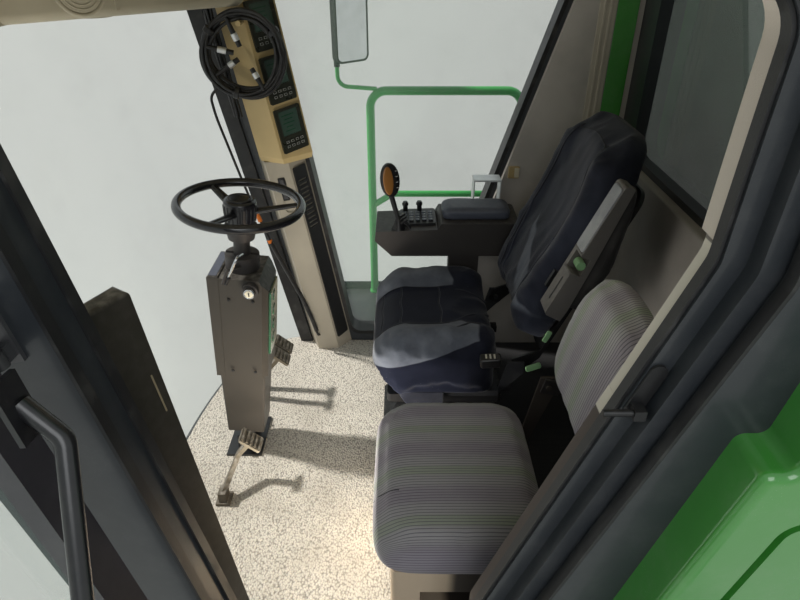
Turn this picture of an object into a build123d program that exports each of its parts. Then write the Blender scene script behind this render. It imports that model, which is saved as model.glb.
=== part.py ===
from build123d import *
import math
import os

# Operator's cab of a combine harvester, standing on its own base frame with its door open.
# Millimetres. +Z is up, -Y is the front, +X is the operator's left, where the door is.
# The origin is on the ground, under the middle of the base frame.
# Heights of what is inside are counted from the deck, the top of the floor mat.

# Levels
rail_height = 130
pan_thick = 40
mat_thick = 12
floor_level = rail_height + pan_thick
deck = floor_level + mat_thick
opening_top = 1500
door_bottom = 30
wall_top = 1560
ceiling = deck + wall_top

# Plan of the shell: a wide front arc, two corner arcs and straight sides
half_width = 800
front_radius = 2000
corner_radius = 300
front_reach = 765
rear_reach = 840
wall_thick = 80
wall_inside = 770
wall_outside = wall_inside + wall_thick
rear_wall_thick = 40
rear_inside = rear_reach - rear_wall_thick

# Lean of the front, as a run forward for each unit of height
glass_lean = 0.20
door_lean = 0.17
blade_lean = 0.104
post_front = -385
opening_front = -215

# Openings, as (y, height) points of their rear edges
left_rear_edge = [(386, opening_top), (378, 1200), (131, 480), (131, door_bottom)]
right_rear_edge = [(601, opening_top), (250, 360), (250, door_bottom)]
opening_corner = 60

# Fits
seat_gap = 0.3
slide_gap = 0.5
mat_gap = 4

# Glass
glass_thick = 6
glass_lap = 22

# Door
door_thick = 30
door_gap = 6
door_lap = 22
door_stile = 31
door_rest_angle = 95
hinge_out = 30
hinge_ahead = 47
hinge_heights = [250, 1150]
knuckle_radius = 11
knuckle_length = 34
pin_radius = 6
pin_gap = 0.3

# Steering column, counted along its own axis from the deck
column_x = -165
column_foot_y = -536
column_lean = 5.5
column_top = 690
wheel_height = 890
wheel_radius = 170
rim_radius = 13
spoke_angles = [12, 132, 252]

# Operator's seat
seat_x = -235
seat_width = 520
seat_front = -95
seat_depth = 395
seat_height = 535
cushion_thick = 190
recline = 23
recline_y = 345
recline_height = 420

# Instructor's seat
guest_x = 375
guest_width = 504
guest_front = -70
guest_depth = 400
guest_height = 440
guest_thick = 108
guest_recline = 13.7
guest_hinge_y = 395
guest_hinge_height = 505


def leaning(y_at_deck, lean, z):
    """The y of a line that leans forward, at a height above the ground."""
    return y_at_deck - lean * (z - deck)


def lean_rise(rise, lean):
    """The length of a leaning extrusion that climbs by rise."""
    return rise * math.sqrt(1 + lean * lean)


def plan_face(grow, y_back, z):
    """Plan of the shell at a height above the ground, grown outwards and cut off at y_back."""
    shift = -glass_lean * (z - deck)
    arm = half_width - corner_radius
    side = half_width + grow
    centre_front = front_radius - front_reach + shift
    angle = math.degrees(math.asin(arm / (front_radius - corner_radius)))
    y_corner = centre_front - math.sqrt((front_radius - corner_radius) ** 2 - arm**2)
    with BuildSketch() as face:
        with BuildLine():
            Line((-side, centre_front), (-side, y_corner))
            CenterArc((-arm, y_corner), corner_radius + grow, 180, 90 - angle)
            CenterArc((0, centre_front), front_radius + grow, 270 - angle, 2 * angle)
            CenterArc((arm, y_corner), corner_radius + grow, 270 + angle, 90 - angle)
            Line((side, y_corner), (side, centre_front))
            Line((side, centre_front), (-side, centre_front))
        make_face()
        with Locations((0, y_back)):
            Rectangle(3 * side, 2 * front_radius, align=(Align.CENTER, Align.MAX), mode=Mode.INTERSECT)
    return face.sketch


def polygon_face(points, radius=0, grow=0):
    """Closed outline through the points, with its corners rounded, grown all round."""
    with BuildSketch() as face:
        with BuildLine():
            Polyline(*points, close=True)
        make_face()
        if radius:
            fillet(face.vertices(), radius)
        if grow:
            offset(amount=grow)
    return face.sketch


def opening_face(rear_edge, grow=0, flare=0):
    """Outline of a side opening in (y, z), grown all round, its rear edge moved back by flare."""
    front = [
        (opening_front - door_lean * height, deck + height) for height in (door_bottom, opening_top)
    ]
    rear = [(y + flare, deck + height) for y, height in rear_edge]
    with BuildSketch() as face:
        add(polygon_face(front + rear, opening_corner))
        if grow:
            offset(amount=grow)
    return face.sketch


def lean_section(points, lean, height, radius=0):
    """Section of a leaning post, given at deck level, moved to where it is at a height."""
    return polygon_face([(x, y - lean * height) for x, y in points], radius)


def post_face_plane(start, end, lean, height):
    """Plane on a leaning post's face: x across from start to end, y up the lean, z outwards."""
    up = Vector(0, -lean, 1).normalized()
    across = Vector(end[0] - start[0], end[1] - start[1], 0)
    across = (across - up * across.dot(up)).normalized()
    middle = ((start[0] + end[0]) / 2, (start[1] + end[1]) / 2 - lean * height, deck + height)
    return Plane(origin=middle, x_dir=across, z_dir=across.cross(up))


def finish(part, label, turn=None):
    """Labels a finished piece, turned about an axis by an angle if asked, and writes it."""
    solid = part.part if turn is None else part.part.rotate(turn[0], turn[1])
    solid.label = label
    export_step(solid, f"parts/{label}.step")


os.makedirs("parts", exist_ok=True)

# Base frame: two long rails, three cross rails and four mount pads with one hole each
rail_width = 80
rail_x = 560
rail_back = 830
rail_front = -560
mount_x = 710
mount_ys = [-380, 700]
mount_hole_radius = 11
pad_margin = 60
pad_thick = 12
gusset_thick = 10
up_from_here = (Align.CENTER, Align.CENTER, Align.MIN)
corner_here = (Align.MIN, Align.MIN, Align.MIN)
pad_inner = rail_x + rail_width / 2
pad_outer = mount_x + pad_margin

with BuildPart() as base_frame:
    with Locations(*[(x, (rail_front + rail_back) / 2, 0) for x in (-rail_x, rail_x)]):
        Box(rail_width, rail_back - rail_front, rail_height, align=up_from_here)
    with Locations(*[(0, y, 0) for y in (rail_front + rail_width / 2, 0, rail_back - rail_width / 2)]):
        Box(2 * rail_x, rail_width, rail_height, align=up_from_here)
    with Locations(*[(s * (pad_inner + pad_outer) / 2, y, 0) for s in (-1, 1) for y in mount_ys]):
        Box(pad_outer - pad_inner, 2 * pad_margin, pad_thick, align=up_from_here)
    with Locations(*[(s * (pad_inner + 25), y, 0) for s in (-1, 1) for y in mount_ys]):
        Box(50, gusset_thick, rail_height, align=up_from_here)
    with Locations(*[(s * mount_x, y, pad_thick) for s in (-1, 1) for y in mount_ys]):
        Hole(mount_hole_radius, depth=2 * pad_thick)
finish(base_frame, "base_frame")

# Floor pan: flat deck plate with the curved front of the shell, wider under the side frames
pan_lip = 14

with BuildPart() as floor_pan:
    with BuildSketch(Plane.XY.offset(rail_height)):
        add(plan_face(pan_lip, 0, floor_level))
        with Locations((0, (post_front + rear_reach) / 2)):
            Rectangle(2 * wall_outside, rear_reach - post_front)
    extrude(amount=pan_thick)
finish(floor_pan, "floor_pan")

# Floor mat: fitted carpet with the same curved front
with BuildPart() as floor_mat:
    with BuildSketch(Plane.XY.offset(floor_level)):
        add(plan_face(-mat_gap, post_front - mat_gap, deck))
        with Locations((0, post_front - mat_gap)):
            Rectangle(2 * (wall_inside - mat_gap), rear_inside - post_front, align=(Align.CENTER, Align.MIN))
    extrude(amount=mat_thick)
finish(floor_mat, "floor_mat")

# Side frames: each one a leaning front post, sill, top rail and rear quarter in one welded panel.
# The left one has a stepped jamb, wider towards the outside along its rear edge.
jamb_steps = [
    # inner x, outer x, how far back the rear edge moves
    (wall_inside, wall_inside + 25, 0),
    (wall_inside + 25, wall_inside + 52, 30),
    (wall_inside + 52, wall_outside, 60),
]
jamb_flare = jamb_steps[-1][2]
frame_outline = [
    (leaning(post_front, glass_lean, floor_level), floor_level),
    (leaning(post_front, glass_lean, ceiling), ceiling),
    (rear_reach, ceiling),
    (rear_reach, floor_level),
]

with BuildPart() as side_frame_left:
    with BuildSketch(Plane.YZ.offset(wall_inside)):
        add(polygon_face(frame_outline))
    extrude(amount=wall_thick)
    for x_from, x_to, flare in jamb_steps:
        with BuildSketch(Plane.YZ.offset(x_from)):
            add(opening_face(left_rear_edge, flare=flare))
        extrude(amount=x_to - x_from, mode=Mode.SUBTRACT)
finish(side_frame_left, "side_frame_left")

with BuildPart() as side_frame_right:
    with BuildSketch(Plane.YZ.offset(-wall_outside)):
        add(polygon_face(frame_outline))
        add(opening_face(right_rear_edge), mode=Mode.SUBTRACT)
    extrude(amount=wall_thick)
finish(side_frame_right, "side_frame_right")

# Rear wall with its window
rear_window_half = 625
rear_window_bottom = 890
rear_window_top = 1470
rear_window_corner = 70
rear_window_rise = rear_window_top - rear_window_bottom
rear_window_middle = deck + (rear_window_bottom + rear_window_top) / 2

with BuildPart() as rear_wall:
    with BuildSketch(Plane.XZ.offset(-rear_reach)):
        with Locations((0, (floor_level + ceiling) / 2)):
            Rectangle(2 * wall_inside, ceiling - floor_level)
        with Locations((0, rear_window_middle)):
            RectangleRounded(
                2 * rear_window_half, rear_window_rise, rear_window_corner, mode=Mode.SUBTRACT
            )
    extrude(amount=rear_wall_thick)
finish(rear_wall, "rear_wall")

# Windshield: one curved pane that stands on the floor pan and leans forward
with BuildPart() as windshield:
    with BuildSketch(Plane.XY.offset(floor_level)):
        add(plan_face(glass_thick, leaning(post_front, glass_lean, floor_level), floor_level))
        add(plan_face(0, 0, floor_level), mode=Mode.SUBTRACT)
    extrude(amount=lean_rise(ceiling - floor_level, glass_lean), dir=(0, -glass_lean, 1))
finish(windshield, "windshield")

# Panes bonded on the outside of their frames
with BuildPart() as right_window:
    with BuildSketch(Plane.YZ.offset(-wall_outside - glass_thick)):
        add(opening_face(right_rear_edge, grow=glass_lap))
    extrude(amount=glass_thick)
finish(right_window, "right_window")

with BuildPart() as rear_window:
    with BuildSketch(Plane.XZ.offset(-rear_reach - glass_thick)):
        with Locations((0, rear_window_middle)):
            RectangleRounded(
                2 * (rear_window_half + glass_lap),
                rear_window_rise + 2 * glass_lap,
                rear_window_corner + glass_lap,
            )
    extrude(amount=glass_thick)
finish(rear_window, "rear_window")

# Rubber seals: a lining in the right window, two in the steps of the door jamb, and a dark strip
# in front of each corner post beside the windshield
seal_width = 16
jamb_seal_width = 5
jamb_seal_depth = 20
strip_section = [(797, -386), (757, -386), (757, -436), (791, -436)]
console_height = 1345

with BuildPart() as rubber_seals:
    with BuildSketch(Plane.YZ.offset(-wall_outside)):
        add(opening_face(right_rear_edge, grow=-seat_gap))
        add(opening_face(right_rear_edge, grow=-seal_width), mode=Mode.SUBTRACT)
    extrude(amount=wall_thick)
    for x_from, flare in ((wall_inside, 0), (wall_outside - jamb_seal_depth, jamb_flare)):
        with BuildSketch(Plane.YZ.offset(x_from)):
            add(opening_face(left_rear_edge, -seat_gap, flare))
            add(opening_face(left_rear_edge, -jamb_seal_width, flare), mode=Mode.SUBTRACT)
        extrude(amount=jamb_seal_depth)
    for side in (-1, 1):
        with BuildSketch(Plane.XY.offset(deck)):
            add(lean_section([(side * x, y) for x, y in strip_section], glass_lean, 0))
        extrude(amount=lean_rise(console_height, glass_lean), dir=(0, -glass_lean, 1))
finish(rubber_seals, "rubber_seals")

# Ceiling: a flat headliner, and a console across the top of the windshield, deeper on the right
liner_gap = 3
headliner_front = leaning(post_front, glass_lean, deck + opening_top)
console_rear = -632
console_side = wall_inside - 4
console_shoulder = (-645, -483)
console_corner = (-150, -960)

with BuildPart() as headliner:
    with BuildSketch(Plane.XY.offset(deck + opening_top)):
        add(plan_face(-liner_gap, headliner_front - 13, deck + opening_top))
        with Locations((0, headliner_front - 13)):
            Rectangle(
                2 * (wall_inside - seat_gap),
                rear_inside - seat_gap - headliner_front + 13,
                align=(Align.CENTER, Align.MIN),
            )
    extrude(amount=wall_top - opening_top)
finish(headliner, "headliner")

with BuildPart() as overhead_console:
    with BuildSketch(Plane.XY.offset(deck + console_height)):
        add(plan_face(-liner_gap, -700, deck + console_height))
        with Locations((0, -700)):
            Rectangle(2 * console_side, console_rear + 700, align=(Align.CENTER, Align.MIN))
        with BuildLine():
            Polyline((console_shoulder[0], -701), console_shoulder, (-400, -701), close=True)
        make_face()
        with BuildLine():
            Polyline(
                console_shoulder,
                console_corner,
                (half_width, console_corner[1]),
                (half_width, console_shoulder[1]),
                close=True,
            )
        make_face(mode=Mode.SUBTRACT)
    extrude(amount=opening_top - console_height)
    console_middle = (Vector(*console_shoulder) + Vector(*console_corner)) / 2
    rear_edge = overhead_console.edges().sort_by_distance(
        (console_middle.X, console_middle.Y, deck + console_height)
    )[0]
    fillet(rear_edge, 25)
    with Locations((-420, -850, deck + console_height)):
        Cylinder(62, 12, mode=Mode.SUBTRACT)
    with Locations((-420, -850, deck + console_height + 6)):
        Cylinder(46, 12, align=(Align.CENTER, Align.CENTER, Align.MAX))
finish(overhead_console, "overhead_console")

# Roof: a lower tier that overhangs all round and a smaller raised tier
roof_overhang = 130
roof_rear = 960
roof_height = 130
crown_inset = 120
crown_height = 80

with BuildPart() as roof_shell:
    with BuildSketch(Plane.XY.offset(ceiling)):
        add(plan_face(roof_overhang, roof_rear, ceiling))
    extrude(amount=roof_height)
    fillet(roof_shell.edges().filter_by(Axis.Z), 90)
    fillet(roof_shell.edges().group_by(Axis.Z)[-1], 55)
    with BuildSketch(Plane.XY.offset(ceiling + roof_height)):
        add(plan_face(roof_overhang - crown_inset, roof_rear - crown_inset, ceiling))
    extrude(amount=crown_height)
    fillet(roof_shell.faces().sort_by(Axis.Z)[-1].edges(), 45)
finish(roof_shell, "roof_shell")

# Work lamps: six boxes under the front overhang, each square to the curve of the roof
lamp_width = 130
lamp_height = 80
lamp_depth = 64
lens_thick = 5
lamp_angles = [-20, -12, -4, 4, 12, 20]
lamp_circle = front_radius + glass_thick + 64
lamp_centre_y = front_radius - front_reach - glass_lean * wall_top


def lamp_plane(angle):
    """Plane at a lamp's top centre, x along the front, y backwards."""
    turn = math.radians(angle)
    out = Vector(math.sin(turn), -math.cos(turn), 0)
    middle = Vector(0, lamp_centre_y, ceiling) + out * lamp_circle
    return Plane(origin=middle, x_dir=Vector(math.cos(turn), math.sin(turn), 0), z_dir=(0, 0, 1))


with BuildPart() as work_lamps:
    for angle in lamp_angles:
        with Locations(lamp_plane(angle).location):
            Box(lamp_width, lamp_depth, lamp_height, align=(Align.CENTER, Align.CENTER, Align.MAX))
    fillet(work_lamps.edges().filter_by(Axis.Z), 10)
    for angle in lamp_angles:
        with Locations(lamp_plane(angle).location):
            with Locations((0, -lamp_depth / 2 - lens_thick / 2, -lamp_height / 2)):
                Box(lamp_width - 24, lens_thick, lamp_height - 22)
finish(work_lamps, "work_lamps")

# Jamb trims on the inside of the left frame, behind the door opening
striker_height = 985
edge_slope = (left_rear_edge[1][0] - left_rear_edge[2][0]) / (left_rear_edge[1][1] - left_rear_edge[2][1])
lower_trim_top = striker_height - 8
middle_trim_top = left_rear_edge[1][1] + 17
trim_bands = [
    # lowest, highest, width, thickness
    (0, lower_trim_top, 36, 28),
    (lower_trim_top + seat_gap, middle_trim_top, 30, 26),
    (middle_trim_top + seat_gap, opening_top, 95, 40),
]
trim_front = -170

with BuildPart() as jamb_trims:
    for low, high, width, thick in trim_bands:
        with BuildSketch(Plane.YZ.offset(wall_inside - thick)):
            add(opening_face(left_rear_edge, width))
            add(opening_face(left_rear_edge), mode=Mode.SUBTRACT)
            with Locations((trim_front, deck + low)):
                Rectangle(1000, high - low, align=(Align.MIN, Align.MIN), mode=Mode.INTERSECT)
        extrude(amount=thick)
finish(jamb_trims, "jamb_trims")


def jamb_edge_y(height):
    """The y of the jamb's leaning rear edge at a height above the deck."""
    return left_rear_edge[2][0] + edge_slope * (height - left_rear_edge[2][1])


# Striker on the jamb: plate, block and catch pin
striker_y = jamb_edge_y(striker_height) + 14.8

with BuildPart() as door_striker:
    with BuildSketch(Plane.YZ.offset(wall_inside + 25)):
        with Locations((striker_y + 25 * edge_slope, deck + striker_height + 25)):
            SlotOverall(90, 24, rotation=90 - math.degrees(math.atan(edge_slope)))
    extrude(amount=5)
    with Locations((wall_inside + 30, striker_y, deck + striker_height)):
        Box(20, 16, 16, align=(Align.MIN, Align.CENTER, Align.CENTER))
    with Locations(Location((wall_inside + 42, striker_y, deck + striker_height), (90, 0, 0))):
        Cylinder(5, 48, align=up_from_here)
finish(door_striker, "door_striker")

# Trim panels inside the rear wall and the right rear quarter
rear_trim_thick = 28
rear_trim_top = 868
side_trim_thick = 24
trim_margin = 14

with BuildPart() as rear_trims:
    with BuildSketch(Plane.XZ.offset(-rear_inside)):
        with Locations((0, deck + rear_trim_top / 2)):
            RectangleRounded(2 * 735, rear_trim_top, 20)
    extrude(amount=rear_trim_thick)
    fillet(rear_trims.faces().sort_by(Axis.Y)[0].edges(), 8)
    with BuildSketch(Plane.YZ.offset(-wall_inside)):
        with BuildLine():
            Polyline(
                (right_rear_edge[1][0] + trim_margin, deck),
                (right_rear_edge[1][0] + trim_margin, deck + right_rear_edge[1][1]),
                (right_rear_edge[0][0] + trim_margin, deck + right_rear_edge[0][1]),
                (rear_inside - 2, deck + right_rear_edge[0][1]),
                (rear_inside - 2, deck),
                close=True,
            )
        make_face()
    extrude(amount=side_trim_thick)
finish(rear_trims, "rear_trims")

# Side cover: it wraps the rear quarter behind the door, with a step in its top edge and a sunk
# groove round its inner panel
cover_thick = 75
cover_step_height = 985
cover_top_height = 1160
cover_bottom = -60
cover_front = 232
cover_slope = 0.2603
groove_width = 12
groove_depth = 10
cover_outline = [
    (cover_front, deck + cover_bottom),
    (cover_front, deck + cover_step_height - (432 - cover_front) / cover_slope),
    (432, deck + cover_step_height),
    (470, deck + cover_step_height),
    (500, deck + cover_top_height),
    (rear_reach + 30, deck + cover_top_height),
    (rear_reach + 30, deck + cover_bottom),
]
cover_panel = [
    (250, deck),
    (484, deck + cover_step_height - 80),
    (rear_reach - 40, deck + cover_step_height - 80),
    (rear_reach - 40, deck),
]

with BuildPart() as side_cover_left:
    with BuildSketch(Plane.YZ.offset(wall_outside)):
        add(polygon_face(cover_outline, 16))
    extrude(amount=cover_thick)
    fillet(side_cover_left.faces().sort_by(Axis.X)[-1].edges(), 14)
    with BuildSketch(Plane.YZ.offset(wall_outside + cover_thick)):
        add(polygon_face(cover_panel, 40))
        add(polygon_face(cover_panel, 40, -groove_width), mode=Mode.SUBTRACT)
    extrude(amount=-groove_depth, mode=Mode.SUBTRACT)
finish(side_cover_left, "side_cover_left")

# Door, drawn shut and turned open about its leaning hinge line
hinge_x = wall_outside + hinge_out
hinge_y = opening_front - hinge_ahead
hinge_line = Axis((hinge_x, hinge_y, deck), (0, -door_lean, 1))
door_inner = wall_outside + door_gap
door_turn = (hinge_line, -door_rest_angle)


def hinge_plane(height):
    """Plane square to the hinge line at a height above the deck."""
    origin = (hinge_x, hinge_y - door_lean * height, deck + height)
    return Plane(origin=origin, x_dir=(1, 0, 0), z_dir=(0, -door_lean, 1))


with BuildPart() as door_frame:
    with BuildSketch(Plane.YZ.offset(door_inner)):
        add(opening_face(left_rear_edge, door_lap, jamb_flare))
        add(opening_face(left_rear_edge, -door_stile), mode=Mode.SUBTRACT)
    extrude(amount=door_thick)
    for height in hinge_heights:
        with BuildSketch(hinge_plane(height)):
            Circle(knuckle_radius)
            Rectangle(14, hinge_ahead - door_lap + 8, align=(Align.CENTER, Align.MIN))
        extrude(amount=knuckle_length / 2, both=True)
        with BuildSketch(hinge_plane(height)):
            Circle(pin_radius + pin_gap)
        extrude(amount=knuckle_length, both=True, mode=Mode.SUBTRACT)
finish(door_frame, "door_frame", door_turn)

with BuildPart() as door_glass:
    with BuildSketch(Plane.YZ.offset(door_inner + door_thick)):
        add(opening_face(left_rear_edge, -door_stile + 15))
    extrude(amount=glass_thick)
finish(door_glass, "door_glass", door_turn)

# Hinge halves on the post: a leaf, two lugs and the pin between them
leaf_length = 96
lug_length = 20
lug_start = knuckle_length / 2 + slide_gap

with BuildPart() as door_hinges:
    for height in hinge_heights:
        with BuildSketch(hinge_plane(height)):
            with Locations((-hinge_out, -45)):
                Rectangle(door_gap, 55, align=(Align.MIN, Align.MIN))
        extrude(amount=leaf_length / 2, both=True)
        for side in (-1, 1):
            with BuildSketch(hinge_plane(height)):
                Circle(knuckle_radius)
                with Locations((-hinge_out, 0)):
                    Rectangle(hinge_out, 14, align=(Align.MIN, Align.CENTER))
            extrude(amount=side * (lug_start + lug_length))
            with BuildSketch(hinge_plane(height)):
                Circle(knuckle_radius + slide_gap)
                with Locations((-hinge_out + door_gap, 0)):
                    Rectangle(hinge_out, 24, align=(Align.MIN, Align.CENTER))
            extrude(amount=side * lug_start, mode=Mode.SUBTRACT)
        with BuildSketch(hinge_plane(height)):
            Circle(pin_radius)
        extrude(amount=lug_start + lug_length, both=True)
finish(door_hinges, "door_hinges")

# Grab bar: a post and plate on the hinge stile, then a tube across the door to the other stile
bar_radius = 11
bar_standoff = 80
bar_post_out = 64
bar_foot_out = 455
bar_top_height = 1120
bar_foot_height = 512
bar_x = door_inner - bar_standoff


def door_point(x, out, height):
    """A point on the shut door, by its x, its distance behind the hinge line and its height."""
    return (x, hinge_y - door_lean * height + out, deck + height)


with BuildPart() as door_grab_bar:
    with BuildLine() as bar_path:
        FilletPolyline(
            door_point(door_inner - 44, bar_post_out, bar_top_height),
            door_point(bar_x, bar_post_out + 10, bar_top_height - 40),
            door_point(bar_x, bar_foot_out, bar_foot_height),
            door_point(door_inner - 3, bar_foot_out, bar_foot_height - 6),
            radius=[22, 45],
        )
    with BuildSketch(bar_path.line ^ 0):
        Circle(bar_radius)
    sweep()
    with Locations(Location(door_point(door_inner - 0.1, bar_post_out, bar_top_height), (0, -90, 0))):
        Cylinder(6, 44, align=up_from_here)
    with Locations(Location(door_point(door_inner - 44, bar_post_out + 6, bar_top_height), (0, 90, 0))):
        with Locations(Location((0, 0, 0), (0, 0, 12))):
            Box(74, 36, 7)
    with BuildSketch(Plane.YZ.offset(door_inner - 0.1)):
        with Locations(door_point(0, bar_foot_out + 14, bar_foot_height - 6)[1:]):
            RectangleRounded(64, 40, 12)
    extrude(amount=-6)
finish(door_grab_bar, "door_grab_bar", door_turn)

# Latch: case on the inside of the rear stile and a pull handle outside
latch_height = striker_height
latch_out = jamb_edge_y(latch_height) - hinge_y + door_lean * latch_height + 32

with BuildPart() as door_latch:
    with Locations(door_point(door_inner + door_thick, latch_out, latch_height)):
        Box(8, 60, 120, align=(Align.MIN, Align.CENTER, Align.CENTER))
    fillet(door_latch.edges().filter_by(Axis.X), 12)
    with Locations(door_point(door_inner + door_thick + 8, latch_out, latch_height + 45)):
        Box(30, 24, 16, align=(Align.MIN, Align.CENTER, Align.CENTER))
    with Locations(door_point(door_inner + door_thick + 8, latch_out, latch_height - 45)):
        Box(30, 24, 16, align=(Align.MIN, Align.CENTER, Align.CENTER))
    with Locations(door_point(door_inner + door_thick + 30, latch_out, latch_height)):
        Box(12, 24, 106, align=(Align.MIN, Align.CENTER, Align.CENTER))
finish(door_latch, "door_latch", door_turn)

# Right corner post: a light cover, a dark switch strip on its angled face, and the display housing
cover_section = [(-770, -215), (-705, -266), (-700, -350), (-770, -385)]
housing_section = [(-770, -190), (-742, -175), (-655, -270), (-690, -360), (-770, -370)]
housing_bottom = 830
strip_thick = 5
peg_radius = 8
peg_y = -500
peg_height = 1300.7

with BuildPart() as post_cover_right:
    with BuildSketch(Plane.XY.offset(deck)):
        add(lean_section(cover_section, door_lean, 0))
    extrude(amount=lean_rise(housing_bottom - seat_gap, door_lean), dir=(0, -door_lean, 1))
    with BuildSketch(post_face_plane(cover_section[2], cover_section[1], door_lean, 700)):
        with GridLocations(0, 75, 1, 2):
            SlotOverall(62, 30, rotation=90)
    extrude(amount=-6, mode=Mode.SUBTRACT)
finish(post_cover_right, "post_cover_right")

with BuildPart() as post_switch_strip:
    with BuildSketch(post_face_plane(cover_section[1], cover_section[0], door_lean, 430)):
        RectangleRounded(62, 760, 6)
    extrude(amount=strip_thick)
    with BuildSketch(post_face_plane(cover_section[1], cover_section[0], door_lean, 660)):
        with GridLocations(0, 17, 1, 12):
            SlotOverall(44, 7)
    extrude(amount=strip_thick, mode=Mode.SUBTRACT)
finish(post_switch_strip, "post_switch_strip")

with BuildPart() as display_housing:
    with BuildSketch(Plane.XY.offset(deck + housing_bottom)):
        add(lean_section(housing_section, door_lean, housing_bottom))
    extrude(
        amount=lean_rise(opening_top - housing_bottom - seat_gap, door_lean),
        dir=(0, -door_lean, 1),
    )
    foot_edges = display_housing.edges().group_by(Axis.Z)[0].sort_by(Axis.X)
    chamfer(foot_edges[-2:], 26, 22)
    with Locations(Location((-664, peg_y, deck + peg_height), (0, 90, 0))):
        Cylinder(peg_radius, 62, align=up_from_here)
finish(display_housing, "display_housing")

# Display units: a bezel with a sunk screen and two rows of keys, three of them up the housing
unit_width = 106
unit_height = 152
unit_pitch = 168
unit_thick = 7
screen_size = (76, 84)
screen_shift = 24
key_size = (12, 8)
unit_heights = [952, 952 + unit_pitch, 952 + 2 * unit_pitch]
screen_thick = 3

with BuildPart() as display_units:
    for height in unit_heights:
        face_plane = post_face_plane(housing_section[2], housing_section[1], door_lean, height)
        with BuildSketch(face_plane):
            RectangleRounded(unit_width, unit_height, 6)
        extrude(amount=unit_thick)
        with BuildSketch(face_plane.offset(unit_thick)):
            with Locations((0, screen_shift)):
                Rectangle(*screen_size)
        extrude(amount=-screen_thick - 1, mode=Mode.SUBTRACT)
        with BuildSketch(face_plane.offset(unit_thick)):
            with Locations((0, -46)):
                with GridLocations(20, 16, 4, 2):
                    Rectangle(*key_size)
        extrude(amount=3)
finish(display_units, "display_units")

with BuildPart() as display_screens:
    for height in unit_heights:
        face_plane = post_face_plane(housing_section[2], housing_section[1], door_lean, height)
        with BuildSketch(face_plane.offset(unit_thick - screen_thick - 1)):
            with Locations((0, screen_shift)):
                Rectangle(screen_size[0] - 2 * seat_gap, screen_size[1] - 2 * seat_gap)
        extrude(amount=screen_thick)
finish(display_screens, "display_screens")

# Left corner post: a tall blade-shaped cover
blade_section = [(651, -291), (630, -324), (770, -385), (770, -350)]
blade_height = 1080

with BuildPart() as post_cover_left:
    with BuildSketch(Plane.XY.offset(deck)):
        add(lean_section(blade_section, blade_lean, 0))
    extrude(amount=lean_rise(blade_height, blade_lean), dir=(0, -blade_lean, 1))
    fillet(post_cover_left.faces().sort_by(Axis.Z)[-1].edges(), 8)
finish(post_cover_left, "post_cover_left")

# Steering column: everything on it is drawn square to its own leaning axis
lean_angle = math.radians(column_lean)
column_axis = Vector(0, math.sin(lean_angle), math.cos(lean_angle))


def column_plane(height, x=0, y=0):
    """Plane square to the column, at a height along it, x to the left and y backwards."""
    base = Plane(origin=(column_x, column_foot_y, deck), x_dir=(1, 0, 0), z_dir=column_axis)
    return Plane(origin=base.from_local_coords(Vector(x, y, height)), x_dir=(1, 0, 0), z_dir=column_axis)


pivot_height = 46
pivot_radius = 9
foot_ear_x = 62
ear_thick = 8
yoke_drop = 26
column_step = 330

with BuildPart() as column_foot:
    with Locations((column_x, column_foot_y, deck)):
        Box(190, 120, 8, align=up_from_here)
    with Locations(*[(column_x + s * (foot_ear_x + ear_thick / 2), column_foot_y, deck) for s in (-1, 1)]):
        Box(ear_thick, 44, pivot_height + 18, align=up_from_here)
    with Locations(Location((column_x, column_foot_y, deck + pivot_height), (0, 90, 0))):
        Cylinder(pivot_radius, 2 * foot_ear_x + 2 * ear_thick + 44)
finish(column_foot, "column_foot")

shell_split = -52
shell_rear = 88
shell_half = 82
shell_cut = 16


def shell_section(half, front, rear):
    """Section of the upper housing: square in front, its rear corners cut off."""
    right = [(half, front), (half, rear - shell_cut), (half - shell_cut, rear)]
    left = [(-x, y) for x, y in reversed(right)]
    return polygon_face(right + left)


with BuildPart() as column_housing:
    with BuildSketch(column_plane(pivot_height + 32)):
        RectangleRounded(112, 122, 6)
    with BuildSketch(column_plane(column_step)):
        RectangleRounded(132, 142, 6)
    loft()
    with Locations(column_plane(pivot_height - yoke_drop).location):
        Box(96, 38, yoke_drop + 36, align=up_from_here)
    with Locations(Location((column_x, column_foot_y, deck + pivot_height), (0, 90, 0))):
        Cylinder(pivot_radius + pin_gap, 200, mode=Mode.SUBTRACT)
    with BuildSketch(column_plane(column_step)):
        add(shell_section(shell_half - 8, shell_split, shell_rear - 8))
    with BuildSketch(column_plane(column_top)):
        add(shell_section(shell_half, shell_split, shell_rear))
    loft()
    chamfer(column_housing.faces().sort_by(Axis.Z)[-1].edges().sort_by(Axis.Y)[-1], 26, 40)
finish(column_housing, "column_housing")

with BuildPart() as column_front_cover:
    with BuildSketch(column_plane(column_step + seat_gap)):
        with Locations((0, shell_split - seat_gap)):
            Rectangle(2 * shell_half - 14, 26, align=(Align.CENTER, Align.MAX))
    with BuildSketch(column_plane(column_top + 4)):
        with Locations((0, shell_split - seat_gap)):
            Rectangle(2 * shell_half + 2, 34, align=(Align.CENTER, Align.MAX))
    loft()
    fillet(column_front_cover.faces().sort_by(Axis.Z)[-1].edges(), 5)
finish(column_front_cover, "column_front_cover")

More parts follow.
